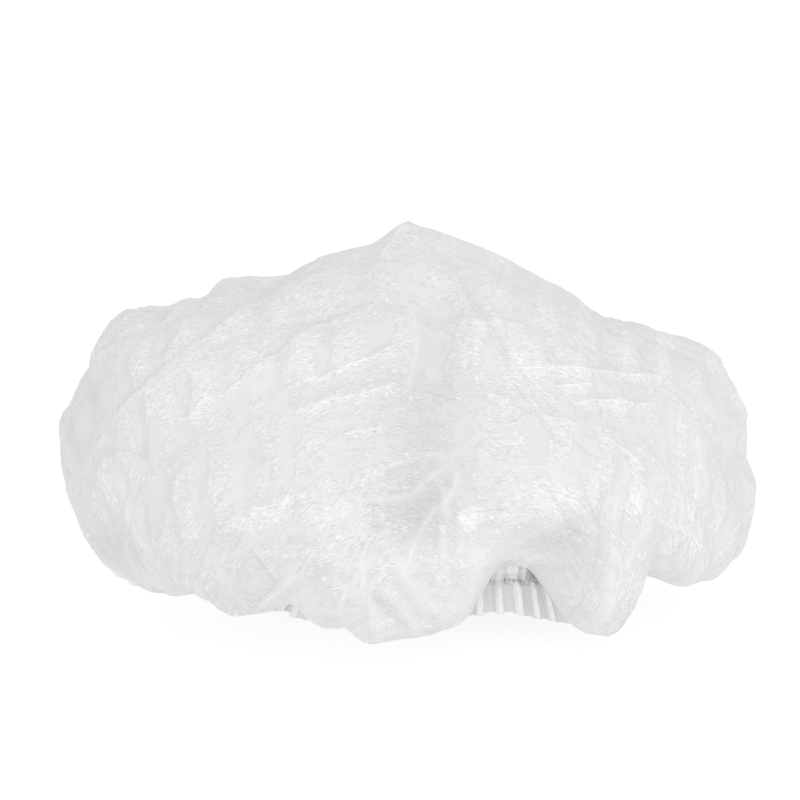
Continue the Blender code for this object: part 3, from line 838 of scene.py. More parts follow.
@dataclass(frozen=True)
class NonwovenFinish:
    """White spunbond nonwoven: crepe wrinkles on the puffs with painted highlights on their crests, painted shade in
    their dips and painted glints, painted lines on the creases, and point bonds where the cloth is smooth.
    """

    name: str
    dark: tuple[float, float, float] = (0.60, 0.605, 0.61)
    light: tuple[float, float, float] = (1.0, 1.0, 1.0)
    level: float = 0.50
    level_by_cover: float = 0.16
    alpha_thin: float = 0.84
    alpha_thick: float = 0.98
    bond_pitch: float = 0.00118
    crepe_across: float = 0.00056
    crepe_along: float = 0.0023
    crepe_bend: float = 0.0028
    crepe_height: float = 0.0006
    # Painted highlights and shade: the crepe's crests, dips and glints and the crease lines are painted lighter or
    # darker in the base colour.
    crest_painted_highlight: float = 0.20
    dip_painted_shade: float = 0.28
    glint_painted_highlight: float = 0.20
    line_width: float = 0.55
    line_painted_highlight: float = 0.36
    line_painted_shade: float = 0.28
    patch_swing: float = 0.10
    fibre_swing: float = 0.08
    bond_dark: float = 0.09
    seed: float = 3.0

    def made(self) -> bpy.types.Material:
        """Builds the material.

        Returns:
            The material, which reads the UV map "cloth", in metres, and the attributes that cloth_mesh is given.
        """
        material, work = empty_material(self.name)
        spot = work.wire(work.node("ShaderNodeUVMap", {"uv_map": "cloth"}))
        place = work.node("ShaderNodeSeparateXYZ", {}, {0: spot})
        along, across = work.wire(place, 0), work.wire(place, 1)
        cover_and_painted_light, tone, over, shine = (work.wire(work.node("ShaderNodeAttribute", {"attribute_name": name}), "Fac")
                                    for name in ("cover_and_painted_light", "tone", "line_over", "line_shine"))
        half_turns = 2 * math.pi / self.bond_pitch / 2
        bonds = ((along * 0.55 + across) * half_turns).sine() * ((along - across * 0.55) * half_turns).sine()
        bend = self.noise(work, along * (1 / 0.0065), across * (1 / 0.0050), self.seed + 2, 1.0)
        bent = across + (bend - 0.5) * self.crepe_bend
        crepe = self.noise(work, along * (1 / self.crepe_along), bent * (1 / self.crepe_across), self.seed, 1.5)
        patches = self.noise(work, along * 170.0, across * 200.0, self.seed + 4, 2.0)
        fibres = self.noise(work, along * 2600.0, across * 2200.0, self.seed + 8, 2.0)
        puff = (cover_and_painted_light + (patches - 0.5) * 0.6 + (crepe - 0.5) * 0.3).stepped(0.28, 0.62)
        crest = crepe.stepped(0.52, 0.70)
        dip = 1.0 - crepe.stepped(0.34, 0.50)
        glints = crest * patches.stepped(0.46, 0.62) * puff
        dots = bonds.stepped(0.30, 0.85) * (1.0 - puff) * (patches.stepped(0.40, 0.60) * 0.8 + 0.2)
        # Painted lines along the creases: a painted highlight on ridges and ribs, painted shade in grooves and under
        # laps.
        away = over.size()
        light = (1.0 - away.stepped(0.25 * self.line_width, 1.3 * self.line_width)) * shine.clipped() * (0.5 + crepe)
        shadow = (1.0 - away.stepped(0.1 * self.line_width, self.line_width)) * (0.0 - shine).clipped()
        # Painted highlights on the crepe's crests and glints, painted shade in its dips.
        wrinkle_highlights_and_shade = puff * (crest * self.crest_painted_highlight - dip * self.dip_painted_shade) + glints * self.glint_painted_highlight
        lines = light * self.line_painted_highlight - shadow * self.line_painted_shade
        grain = (patches - 0.5) * self.patch_swing + (fibres - 0.5) * self.fibre_swing - dots * self.bond_dark
        # tone carries the painted light and shade of the patches and the ribs, with a random tone.
        share = cover_and_painted_light * self.level_by_cover + self.level + tone + wrinkle_highlights_and_shade + lines + grain
        alpha = (cover_and_painted_light * (self.alpha_thick - self.alpha_thin) + self.alpha_thin - dots * 0.03).clipped()
        height = puff * crepe + light * 0.6 - shadow * 0.5 - dots * self.bond_dark + fibres * self.fibre_swing
        bump = work.node("ShaderNodeBump", {}, {"Strength": 0.8, "Distance": self.crepe_height, "Height": height})
        shader = work.node("ShaderNodeBsdfPrincipled", {}, {
            "Base Color": work.colour_between(share.clipped(), self.dark, self.light),
            "Roughness": (0.62 - glints * 0.25).clipped(), "Alpha": alpha, "Normal": work.wire(bump), "IOR": 1.45})
        work.node("ShaderNodeOutputMaterial", {}, {0: work.wire(shader)})
        return material

    def noise(self, work: NodeWork, along: Wire, across: Wire, shift: float, detail: float) -> Wire:
        """Noise whose swells are one unit wide each way.

        Args:
            work: the maker of the tree.
            along: place along the cloth in swells.
            across: place across the cloth in swells.
            shift: which slice of the noise is read.
            detail: how many finer layers it has.

        Returns:
            The noise, from 0 to 1.
        """
        place = work.node("ShaderNodeCombineXYZ", {}, {0: along, 1: across, 2: shift})
        made = work.node("ShaderNodeTexNoise", {"noise_dimensions": "3D"},
                         {"Vector": work.wire(place), "Scale": 1.0, "Detail": detail, "Roughness": 0.55})
        return work.wire(made, "Fac")


@dataclass(frozen=True)
class YarnFinish:
    """Matt white elastic or thread with fine ribs along it."""

    name: str
    dark: tuple[float, float, float]
    light: tuple[float, float, float]
    ribs: float
    roughness: float = 0.6

    def made(self) -> bpy.types.Material:
        """Builds the material, which reads Object coordinates.

        Returns:
            The material.
        """
        material, work = empty_material(self.name)
        place = work.node("ShaderNodeTexCoord")
        spot = work.wire(place, "Object")
        spots = work.node("ShaderNodeTexNoise", {}, {"Vector": spot, "Scale": self.ribs, "Detail": 2.0})
        lines = work.node("ShaderNodeSeparateXYZ", {}, {0: spot})
        rib = (work.wire(lines, 2) * (self.ribs * 2.2)).sine() * 0.5 + 0.5
        share = (work.wire(spots, "Fac") * 0.7 + rib * 0.4).clipped()
        bump = work.node("ShaderNodeBump", {}, {"Strength": 0.4, "Distance": 0.0003, "Height": share})
        shader = work.node("ShaderNodeBsdfPrincipled", {}, {
            "Base Color": work.colour_between(share, self.dark, self.light), "Roughness": self.roughness,
            "Normal": work.wire(bump)})
        work.node("ShaderNodeOutputMaterial", {}, {0: work.wire(shader)})
        return material


def cloth_mesh(name: str, rows: np.ndarray, uv: np.ndarray, marks: dict[str, np.ndarray]) -> bpy.types.Mesh:
    """Lays a grid of faces over rows of points and joins the edges that meet.

    Args:
        name: the mesh's name.
        rows: the points, as (row, step, axis).
        uv: the place on the flat cloth of each point in metres, as (row, step, 2).
        marks: one value for each point under each attribute's name, such as cover_and_painted_light, from 0 where the
            cloth is thin or painted darker.

    Returns:
        The mesh, with its UV map "cloth" and its attributes.
    """
    count, steps = rows.shape[:2]
    index = np.arange(count * steps).reshape(count, steps)
    faces = np.stack([index[:-1, :-1], index[:-1, 1:], index[1:, 1:], index[1:, :-1]], axis=-1).reshape(-1, 4)
    mesh = bpy.data.meshes.new(name)
    mesh.from_pydata(rows.reshape(-1, 3), [], faces)
    layer = mesh.uv_layers.new(name="cloth")
    layer.data.foreach_set("uv", uv.reshape(-1, 2)[faces.ravel()].astype(np.float32).ravel())
    for mark, values in marks.items():
        mesh.attributes.new(mark, "FLOAT", "POINT").data.foreach_set("value", values.astype(np.float32).ravel())
    joined = bmesh.new()
    joined.from_mesh(mesh)
    bmesh.ops.remove_doubles(joined, verts=joined.verts, dist=JOINED_WITHIN)
    bmesh.ops.recalc_face_normals(joined, faces=joined.faces)
    joined.to_mesh(mesh)
    joined.free()
    mesh.shade_smooth()
    return mesh


def flat_places(rows: np.ndarray) -> np.ndarray:
    """Where the points of a grid lie on the flat cloth, measured from its middle along the rows and the columns.

    Args:
        rows: the points, as (row, step, axis).

    Returns:
        The places in metres, as (row, step, 2).
    """
    along = np.linalg.norm(np.diff(rows, axis=1), axis=2)
    along = np.concatenate([np.zeros((len(rows), 1)), np.cumsum(along, axis=1)], axis=1)
    along -= along[:, along.shape[1] // 2][:, None]
    across = np.linalg.norm(np.diff(rows, axis=0), axis=2)
    across = np.concatenate([np.zeros((1, rows.shape[1])), np.cumsum(across, axis=0)], axis=0)
    across -= across[across.shape[0] // 2][None, :]
    return np.stack([along, across], axis=-1)


def turn_outwards(mesh: bpy.types.Mesh, centre: Vector) -> None:
    """Turns the mesh's faces over if they look towards the centre.

    Args:
        mesh: a mesh whose faces all look the same way.
        centre: a point inside it.
    """
    looks = sum((face.center - centre).dot(face.normal) * face.area for face in mesh.polygons)
    if looks < 0:
        mesh.flip_normals()


def new_piece(name: str, mesh: bpy.types.Mesh, material: bpy.types.Material) -> bpy.types.Object:
    """An object of the cap at the origin, with its material.

    Args:
        name: the object's name.
        mesh: its mesh.
        material: its one material.

    Returns:
        The object.
    """
    mesh.materials.clear()
    mesh.materials.append(material)
    made = bpy.data.objects.new(name, mesh)
    bpy.context.scene.collection.objects.link(made)
    log.info("%s: %d faces", name, len(mesh.polygons))
    return made


@dataclass
class Crown:
    """The pleated crown: grid lines follow the creases from the left end of the opening to the right end."""

    panels: int = 22
    rows_a_front_panel: int = 14
    rows_a_back_panel: int = 7
    steps_along: int = 424
    even_spacing: float = 0.62
    pleat_rise: float = 0.0010
    front_ease: float = 0.55
    pleat_rise_at_ends: float = 0.0009
    pleat_wander: float = 0.35
    crest: float = 0.78
    panel_puff: float = 0.0010
    pucker_pitch: float = 0.0098
    pucker_rise: float = 0.0015
    crumple_rise: float = 0.0011
    crumple_size: float = 0.026
    crease_rise: float = 0.00045
    crease_size: float = 0.0075
    gather_fade: float = 0.10
    neck_swing: float = 0.0008
    neck_at: float = 0.08
    neck_over: float = 0.07
    crease_fade: float = 0.05
    peak_calm: float = 0.85
    peak_from: float = 0.80
    peak_over: float = 0.16
    line_strength: float = 0.55
    line_piece: float = 60.0
    loose_creases: int = 110
    tone_swing: float = 0.05
    cover_level: float = 0.50
    cover_by_pleats: float = 0.14
    cover_by_puckers: float = 0.34
    cover_by_crumples: float = 0.12
    cover_by_creases: float = 0.20
    cover_by_patches: float = 0.42
    cover_swing: float = 0.14
    flat: tuple[float, float] = (0.53, 0.36)
    finish: NonwovenFinish = field(default_factory=lambda: NonwovenFinish("crown_nonwoven"))

    def pleats(self, panel: np.ndarray, across: np.ndarray,
               base: np.ndarray) -> tuple[np.ndarray, np.ndarray, np.ndarray]:
        """The pleats: each rises slowly over two panels and drops at a crisp fold, which lies over the next one.

        Args:
            panel: which panel each point lies in, counted from the front.
            across: place from left to right, from -1 to 1.
            base: the points of the plain crown.

        Returns:
            The height of the pleats, how doubled the cloth is at their folds, and which pleat each point is on.
        """
        pleat = (panel + self.pleat_wander * SmoothNoise(12).at(base, 0.055)) / 2
        share = pleat - np.floor(pleat)
        spread = np.stack([across * 0.13, np.floor(pleat) * 0.4, 0 * pleat], axis=-1)
        own = 0.8 + 0.7 * SmoothNoise(11).at(spread, 0.05)
        rise = (self.pleat_rise + (self.pleat_rise_at_ends - self.pleat_rise) * across**2) * np.clip(own, 0.25, 1.5)
        rise *= 1.0 - self.front_ease * smooth_step(0.5 - base[:, 1] / (FORM.depth * FORM.front_to_back))
        up = np.clip(share / self.crest, 0.0, 1.0)
        down = np.clip((share - self.crest) / (1 - self.crest), 0.0, 1.0)
        height = rise * (2 * up**1.2 - 1 - 2 * smooth_step(down)) + self.panel_puff * np.sin(np.pi * up)
        doubled = np.exp(-(((share - self.crest + 0.05) / 0.05) ** 2)) - 0.2 * np.sin(np.pi * down)
        return height, doubled * np.clip(own, 0.3, 1.3), pleat

    def puckers(self, pleat: np.ndarray, along: np.ndarray, base: np.ndarray) -> tuple[np.ndarray, np.ndarray]:
        """Crosswise puckers that change sides from one pleat to the next, so that the cloth looks quilted.

        Args:
            pleat: which pleat each point is on.
            along: place along the strip in metres.
            base: the points of the plain crown.

        Returns:
            The height of the puckers, and how doubled the cloth is on them.
        """
        wander = SmoothNoise(21).at(base, 0.045) + 0.35 * SmoothNoise(23).at(base, 0.014)
        side = 0.5 * np.mod(np.floor(pleat), 2)
        pillow = np.abs(np.sin(np.pi * (along / self.pucker_pitch / 2 + 0.45 * wander + side)))
        share = pleat - np.floor(pleat)
        over = np.sin(np.pi * np.clip(share / self.crest, 0.0, 1.0)) ** 0.5
        felt = smooth_step(0.72 + 1.0 * SmoothNoise(22).at(base, 0.050))
        height = (pillow**0.8 - 0.6) * over * (0.3 + 0.9 * felt)
        edge = 0.55 + 0.25 * SmoothNoise(24).at(base, 0.016)
        doubled = (smooth_step((pillow - edge) / 0.24) - 0.5) * over * felt
        return self.pucker_rise * height, doubled

    def crumples(self, base: np.ndarray, flat: np.ndarray) -> tuple[np.ndarray, np.ndarray]:
        """The irregular crumples that cover the whole crown.

        Args:
            base: the points of the plain crown.
            flat: their places on the flat cloth.

        Returns:
            The height of the crumples, and how doubled the cloth is on them.
        """
        broad = SmoothNoise(31).ridges(base, self.crumple_size)
        swell = SmoothNoise(33).at(base, 0.048)
        crosswise = np.stack([flat[:, 0], flat[:, 1] * 0.35, 0.3 * base[:, 1]], axis=-1)
        lengthwise = np.stack([flat[:, 0] * 0.4, flat[:, 1], 0.3 * base[:, 1]], axis=-1)
        cross = SmoothNoise(32).ridges(crosswise, self.crease_size)
        long_way = SmoothNoise(34).ridges(lengthwise, self.crease_size * 0.9)
        height = self.crumple_rise * (0.6 * broad + 1.1 * swell) + self.crease_rise * (cross + 0.8 * long_way)
        return height, 0.5 * smooth_step(cross * 1.6 - 0.2) + 0.5 * smooth_step(long_way * 1.6 - 0.2) - 0.2

    def seen_creases(self, base: np.ndarray, outward: np.ndarray, marks: CreaseMarks) -> None:
        """Adds the creases of the table CREASES, which show from the front.

        Args:
            base: the points of the plain crown with its broad folds.
            outward: the way out of the cloth at each point.
            marks: what the creases do, which this adds to.
        """
        across, up = VIEW.shares(base)
        facing = VIEW.facing(outward)
        unit = FORM.width / 200.0 / MM
        seen = np.flatnonzero(facing > 0.01)
        for crease in CREASES:
            over, felt = beside_path(across[seen], up[seen], np.array(crease.path))
            marks.add(seen, crease.kind, crease.rise, crease.wide, over * unit, felt * facing[seen])

    def hidden_creases(self, base: np.ndarray, outward: np.ndarray, marks: CreaseMarks) -> None:
        """Adds loose creases at the sides, the back and the top, laid by a seeded draw.

        Args:
            base: the points of the plain crown.
            outward: the way out of the cloth at each point.
            marks: what the creases do, which this adds to.
        """
        draw = np.random.default_rng(77)
        away = 1.0 - VIEW.facing(outward)
        kinds = list(CreaseKind)
        for _ in range(self.loose_creases):
            start = base[draw.integers(len(base))]
            normal = FORM.outward_of(start[None, :])[0]
            level = np.cross(normal, [0.0, 0.0, 1.0]) * draw.normal(1.0, 0.3)
            heading = level + np.array([0.0, 0.0, draw.normal(0.0, 0.7)])
            heading /= np.linalg.norm(heading)
            side = np.cross(normal, heading)
            length, wide = draw.uniform(0.012, 0.045), draw.uniform(1.8, 2.8)
            bend, rise = draw.uniform(-6.0, 6.0), draw.uniform(0.6, 1.6)
            kind = kinds[draw.integers(len(kinds))]
            from_start = base - start
            along, over = from_start @ heading / length, from_start @ side
            over = over + bend * length * length * (along**2 - 0.3)
            near = np.exp(-(along**4)) * smooth_step(2.0 - np.abs(from_start @ normal) / 0.02) * away
            where = np.flatnonzero((near > 0.01) & (np.abs(over) < 0.012))
            marks.add(where, kind, rise, wide, over[where] / MM, near[where])

    def pleat_lines(self, pleat: np.ndarray, across: np.ndarray, lines: np.ndarray, marks: CreaseMarks) -> None:
        """Paints the folded edge of each pleat as a thin line, a painted highlight in some places and painted shade in
        others.

        Args:
            pleat: which pleat each point is on.
            across: place across the strip in metres, as (row, step).
            lines: which panel each row lies in.
            marks: what the creases do, which this adds to.
        """
        wide = np.abs(np.gradient(across, lines, axis=0)).ravel() * 2 / MM
        share = pleat - np.floor(pleat)
        over = (np.mod(share - self.crest + 0.5, 1.0) - 0.5) * wide
        row, step = np.divmod(np.arange(len(pleat)), across.shape[1])
        spread = np.stack([step * 1.0, np.floor(pleat) * 40.0, 0.0 * row], axis=-1)
        marks.draw_line(np.arange(len(pleat)), over, self.line_strength * SmoothNoise(13).at(spread, self.line_piece))

    def patches(self, base: np.ndarray, outward: np.ndarray) -> tuple[np.ndarray, np.ndarray]:
        """Lays out the patches of the tables COVERS and PAINTED_SHADES.

        Args:
            base: the points of the plain crown with its broad folds.
            outward: the way out of the cloth at each point.

        Returns:
            How far the cloth is doubled, above 0, or single, below 0, with painted shade on the undersides and low
            edges, and how much lighter or darker it is painted, as painted light and shade.
        """
        across, up = VIEW.shares(base)
        doubled, tone = np.zeros(len(base)), np.zeros(len(base))
        for patch in COVERS + PAINTED_SHADES:
            turn = math.radians(patch.turn)
            right, rise = across - patch.across, up - patch.up
            long_way = (right * math.cos(turn) + rise * math.sin(turn)) / patch.wide
            short_way = (rise * math.cos(turn) - right * math.sin(turn)) / patch.tall
            if isinstance(patch, PaintedShade):
                tone += patch.tone * np.exp(-(long_way**2) - short_way**2)
            else:
                doubled += patch.layers * np.exp(-((long_way**4 + short_way**4) ** 1.5))
        facing = VIEW.facing(outward)
        return doubled * facing, tone * facing

    def build(self) -> bpy.types.Object:
        """Returns:
            The crown's object.
        """
        turn = np.pi * np.arange(self.steps_along + 1) / self.steps_along
        across = -np.cos(turn) * (1 - self.even_spacing) + (2 * turn / np.pi - 1) * self.even_spacing
        half = self.panels / 2
        front = np.linspace(0.0, half, round(half * self.rows_a_front_panel) + 1)
        back = np.linspace(half, self.panels, round(half * self.rows_a_back_panel) + 1)
        lines = np.concatenate([front, back[1:]])
        grid = (len(lines), len(across))
        panel = np.repeat(lines, len(across))
        width = np.tile(across, len(lines))
        deep = (2 * panel / self.panels - 1) * np.sqrt(np.clip(1 - width**2, 0.0, 1.0))
        base, climb = FORM.plain_crown(width, deep)
        outward = FORM.outward_of(base)
        flat = flat_places(base.reshape(grid + (3,)))
        places = flat.reshape(-1, 2)
        pleat_rise, pleat_cover, pleat = self.pleats(panel, width, base)
        pucker_rise, pucker_cover = self.puckers(pleat, places[:, 0], base)
        crumple_rise, crumple_cover = self.crumples(base, places)
        folded = base + outward * FORM.folds(base, climb)[:, None]
        marks = CreaseMarks.none(len(base))
        self.pleat_lines(pleat, places[:, 1].reshape(grid), lines, marks)
        self.seen_creases(folded, outward, marks)
        self.hidden_creases(base, outward, marks)
        rise = (pleat_rise + pucker_rise + crumple_rise) * smooth_step(climb / FORM.pleat_fade)
        rise += marks.height * smooth_step(climb / self.crease_fade)
        rise *= 1.0 - self.peak_calm * smooth_step((climb - self.peak_from) / self.peak_over)
        points = folded + outward * rise[:, None] + self.gathers(width, deep, climb)
        patch_cover, tone = self.patches(folded, outward)
        # Painted light and shade from the patches and the ribs, with a random tone on top.
        tone += marks.tone + self.tone_swing * SmoothNoise(42).at(base, 0.034)
        # Doubled cloth is lighter; the same value paints shade on the undersides and in hollows and grooves.
        thick = (self.cover_level + self.cover_by_pleats * pleat_cover + self.cover_by_puckers * pucker_cover
                 + self.cover_by_crumples * crumple_cover + self.cover_by_creases * marks.doubled
                 + self.cover_by_patches * patch_cover + self.cover_swing * SmoothNoise(41).at(base, 0.03))
        rows = (points + FORM.frame_shift()).reshape(grid + (3,))
        mesh = cloth_mesh("crown_cloth", rows, flat, {
            "cover_and_painted_light": np.clip(thick, 0.0, 1.0), "tone": tone, "line_over": marks.over, "line_shine": marks.shine})
        turn_outwards(mesh, Vector((0.0, 0.0, FORM.peak * FORM.puff_centre)))
        return new_piece("crown_cloth", mesh, self.finish.made())

    def gathers(self, across: np.ndarray, deep: np.ndarray, climb: np.ndarray) -> np.ndarray:
        """How far the gathers at the opening push each point of the crown out or in.

        Args:
            across: place on the disc from left to right, from -1 to 1.
            deep: place on the disc from front to back, from -1 to 1.
            climb: how far each point has climbed from the opening to the peak.

        Returns:
            One move for each point.
        """
        azimuth = np.arctan2(deep, across)
        wave = np.cos(FORM.gather_phase(azimuth))
        fade = np.exp(-((climb / self.gather_fade) ** 2))
        neck = np.exp(-(((climb - self.neck_at) / self.neck_over) ** 2))
        swing = (FORM.gather_swing * fade + self.neck_swing * neck) * wave
        return outward_way(azimuth) * swing[:, None]


def profile(kind: CreaseKind, over: np.ndarray) -> tuple[np.ndarray, np.ndarray]:
    """The shape of the cloth across a crease.

    Args:
        kind: the kind of crease.
        over: how far each point lies to one side of it, in shares of its width.

    Returns:
        The height, and how much the crease doubles the cloth; where that is below zero, in grooves, hollows and under
        laps, its darker colour is painted shade.
    """
    away = np.abs(over)
    line = np.exp(-(over**2))
    if kind is CreaseKind.HOLLOW:
        return -line, -0.5 * line
    if kind is CreaseKind.GROOVE:
        return 0.30 * np.exp(-((away - 1.9) ** 2)) - line, 0.4 * np.exp(-((away - 1.6) ** 2)) - 0.4 * line
    if kind in (CreaseKind.RIDGE, CreaseKind.RIB):
        return line - 0.25 * np.exp(-((away - 2.0) ** 2)), line if kind is CreaseKind.RIDGE else -line
    step = smooth_step(0.5 + over / 1.4)
    high = step * np.exp(-np.maximum(over, 0.0) / 3.5) - 0.5 * (1 - step) * np.exp(np.minimum(over, 0.0) / 1.5)
    return high, step * np.exp(-np.maximum(over, 0.0) / 1.4) - 0.4 * (1 - step) * np.exp(np.minimum(over, 0.0) / 1.4)


@dataclass
class CreaseMarks:
    """What creases do to the cloth at each point.

    Height is in metres. Doubled is above zero where the cloth lies double, and tone is the painted highlight along the
    ribs. Over is how far the nearest line lies to one side in millimetres, and shine is how light that painted line
    is, as a painted highlight, or how dark, below zero, as painted shade.
    """

    height: np.ndarray
    doubled: np.ndarray
    tone: np.ndarray
    over: np.ndarray
    shine: np.ndarray

    @classmethod
    def none(cls, count: int) -> "CreaseMarks":
        """Marks for this many points without any crease."""
        return cls(np.zeros(count), np.zeros(count), np.zeros(count), np.full(count, LINE_REACH), np.zeros(count))

    def add(self, where: np.ndarray, kind: CreaseKind, rise: float, wide: float,
            over: np.ndarray, felt: np.ndarray) -> None:
        """Adds one crease.

        Args:
            where: the points that it may reach.
            kind: the kind of crease.
            rise: its height in millimetres.
            wide: its width in millimetres.
            over: how far each of those points lies to one side of it in millimetres.
            felt: how much of it each of those points feels, from 0 to 1.
        """
        shape, fold = profile(kind, over / wide)
        self.height[where] += rise * MM * shape * felt
        self.doubled[where] += fold * felt
        if kind is CreaseKind.RIB:
            self.tone[where] += RIB_PAINTED_HIGHLIGHT * rise * np.exp(-((over / wide) ** 2)) * felt
        self.draw_line(where, over, LINE_SHINE[kind] * felt)

    def draw_line(self, where: np.ndarray, over: np.ndarray, shine: np.ndarray) -> None:
        """Keeps a line where it is stronger than the lines that were there before.

        Args:
            where: the points that the line may reach.
            over: how far each of those points lies to one side of it in millimetres.
            shine: how light it is there, or how dark, below zero.
        """
        near = shine * np.exp(-((over / LINE_NEAR) ** 2))
        stronger = np.abs(near) > np.abs(self.shine[where])
        self.over[where] = np.where(stronger, np.clip(over, -LINE_REACH, LINE_REACH), self.over[where])
        self.shine[where] = np.where(stronger, near, self.shine[where])


def beside_path(across: np.ndarray, up: np.ndarray, path: np.ndarray) -> tuple[np.ndarray, np.ndarray]:
    """Where points lie beside a path.

    Args:
        across: where each point shows, across.
        up: where each point shows, up.
        path: the corners of the path.

    Returns:
        How far each point lies to the left of the path, and how much it feels the path, which fades at both ends.
    """
    lengths = np.linalg.norm(np.diff(path, axis=0), axis=1)
    total, run = lengths.sum(), 0.0
    nearest = np.full(len(across), 1e9)
    signed, share = np.zeros(len(across)), np.zeros(len(across))
    for start, end, length in zip(path[:-1], path[1:], lengths):
        way = (end - start) / length
        right, rise = across - start[0], up - start[1]
        ahead = np.clip(right * way[0] + rise * way[1], 0.0, length)
        away = np.hypot(right - ahead * way[0], rise - ahead * way[1])
        side = np.sign(rise * way[0] - right * way[1])
        closer = away < nearest
        nearest = np.where(closer, away, nearest)
        signed = np.where(closer, away * side, signed)
        share = np.where(closer, (run + ahead) / total, share)
        run += length
    return signed, smooth_step(np.minimum(share, 1 - share) / 0.15 + 0.10)


@dataclass
class HemRuffle:
    """The margin of the cloth below the gather line: gathers at the line, and loose rolls at the free edge."""

    steps: int = 1440
    rows: int = 18
    roll_swing: float = 0.0021
    roll_sharpness: float = 3.2
    opened_by: float = 0.18
    fine_swing: float = 0.0006
    lean: float = 0.0004
    ruffle_swing: float = 0.0020
    ruffles: int = 15
    edge_wave: float = 0.0012
    # The hem's darker finish and strong level_by_cover paint shade on the thin panels between the rolls, where the dim
    # inside shows through, and paint the roll crests lighter, partly for their doubled cloth.
    finish: NonwovenFinish = field(default_factory=lambda: NonwovenFinish(
        "hem_nonwoven", dark=(0.44, 0.445, 0.45), level=0.36, level_by_cover=0.75, alpha_thin=0.66, alpha_thick=0.97,
        crepe_across=0.0050, crepe_along=0.0006, seed=19.0))

    def build(self) -> bpy.types.Object:
        """Builds the ruffle.

        Returns:
            The ruffle's object.
        """
        azimuth = 2 * np.pi * np.arange(self.steps + 1) / self.steps
        phase = FORM.gather_phase(azimuth)
        crest = 0.5 + 0.5 * np.cos(phase)
        sharp = crest**self.roll_sharpness
        drapes = FORM.hem_drop * sum(flare.reach * FORM.felt(azimuth, flare) for flare in FLARES)
        window = FORM.felt(azimuth, FRONT_WINDOW)
        lift, line = FORM.hem_lift(azimuth), FORM.gather_line(azimuth)
        slow = self.ruffles * azimuth + 0.9 * np.sin(3 * azimuth + 1.0) + 0.6 * np.sin(7 * azimuth)
        ring, tangent = outward_way(azimuth), outward_way(azimuth + np.pi / 2)
        rows, covers = [], []
        for share in np.linspace(0.0, 1.0, self.rows):
            opened = float(smooth_step(np.array(share / self.opened_by)))
            fine = self.fine_swing * opened * np.sin(2.7 * phase + 1.0) * (1 - 0.6 * share)
            roll = FORM.gather_swing * np.cos(phase) * (1 - opened) + self.roll_swing * (2 * sharp - 0.7) * opened
            slack = self.ruffle_swing * share * np.cos(slow) * (1 - window)
            out = share * (FORM.hem_flare + drapes) + roll * (1 - 0.35 * share * (1 - window)) + fine + slack
            edge = self.edge_wave * share**2 * (0.6 * np.cos(slow + 1.3) + 0.4 * np.sin(phase * 0.5)) * (1 - window)
            height = np.maximum(line + (lift - line) * share + edge + self.edge_wave * share**2, 0.0)
            points = FORM.opening_point(azimuth, 0.0, height) + ring * out[:, None]
            points += tangent * (self.lean * opened * np.sin(2 * phase))[:, None]
            rows.append(points)
            # The bunched gathers at the top are lighter for their doubled cloth; in the window that extra lightness is
            # painted light against the shade under the crown's edge.
            bunched_and_painted_light = 0.25 * (1 - share) * (1 - window) + 0.60 * (1 - opened) * window
            covers.append(0.10 + 0.85 * smooth_step((crest - 0.70) / 0.14) + bunched_and_painted_light)
        grid = np.array(rows) + FORM.frame_shift()
        flat = flat_places(grid)
        flat[..., 0] = flat[self.rows // 2, :, 0]
        mesh = cloth_mesh("hem_cloth", grid, flat, {"cover_and_painted_light": np.clip(np.array(covers), 0.0, 1.0)})
        turn_outwards(mesh, Vector((FORM.opening_shift, 0.0, FORM.hem_drop / 2)))
        return new_piece("hem_cloth", mesh, self.finish.made())


@dataclass
class GatherElastic:
    """The flat ribbed elastic inside the gather line, closed in a ring."""

    width: float = 0.0050
    wall: float = 0.0010
    steps: int = 300
    ribs: int = 4
    rib_points: int = 4
    rib_height: float = 0.00016
    finish: YarnFinish = field(default_factory=lambda: YarnFinish(
        "gather_elastic", dark=(0.74, 0.74, 0.73), light=(0.92, 0.92, 0.91), ribs=900.0))

    def build(self) -> bpy.types.Object:
        """Builds the elastic.

        Returns:
            The elastic's object.
        """
        azimuth = 2 * np.pi * np.arange(self.steps + 1) / self.steps
        middle = -FORM.crown_wall - FORM.elastic_gap - self.wall / 2
        line = FORM.gather_line(azimuth)
        count = self.ribs * self.rib_points
        up = np.linspace(-0.5, 0.5, count + 1)
        ribbed = self.rib_height * np.abs(np.sin(np.pi * self.ribs * (up + 0.5)))
        body = (self.wall / 2 - self.rib_height) * np.sqrt(np.clip(1 - (2 * up) ** 8, 0.0, 1.0))
        side = [(x + r, u) for x, r, u in zip(body, ribbed, up)]
        section = side + [(-x, u) for x, u in reversed(side[1:-1])]
        rows = [FORM.opening_point(azimuth, middle + out, line + high * self.width)
                for out, high in section + section[:1]]
        grid = np.array(rows) + FORM.frame_shift()
        mesh = cloth_mesh("elastic_ring", grid, flat_places(grid), {})
        return new_piece("elastic_ring", mesh, self.finish.made())


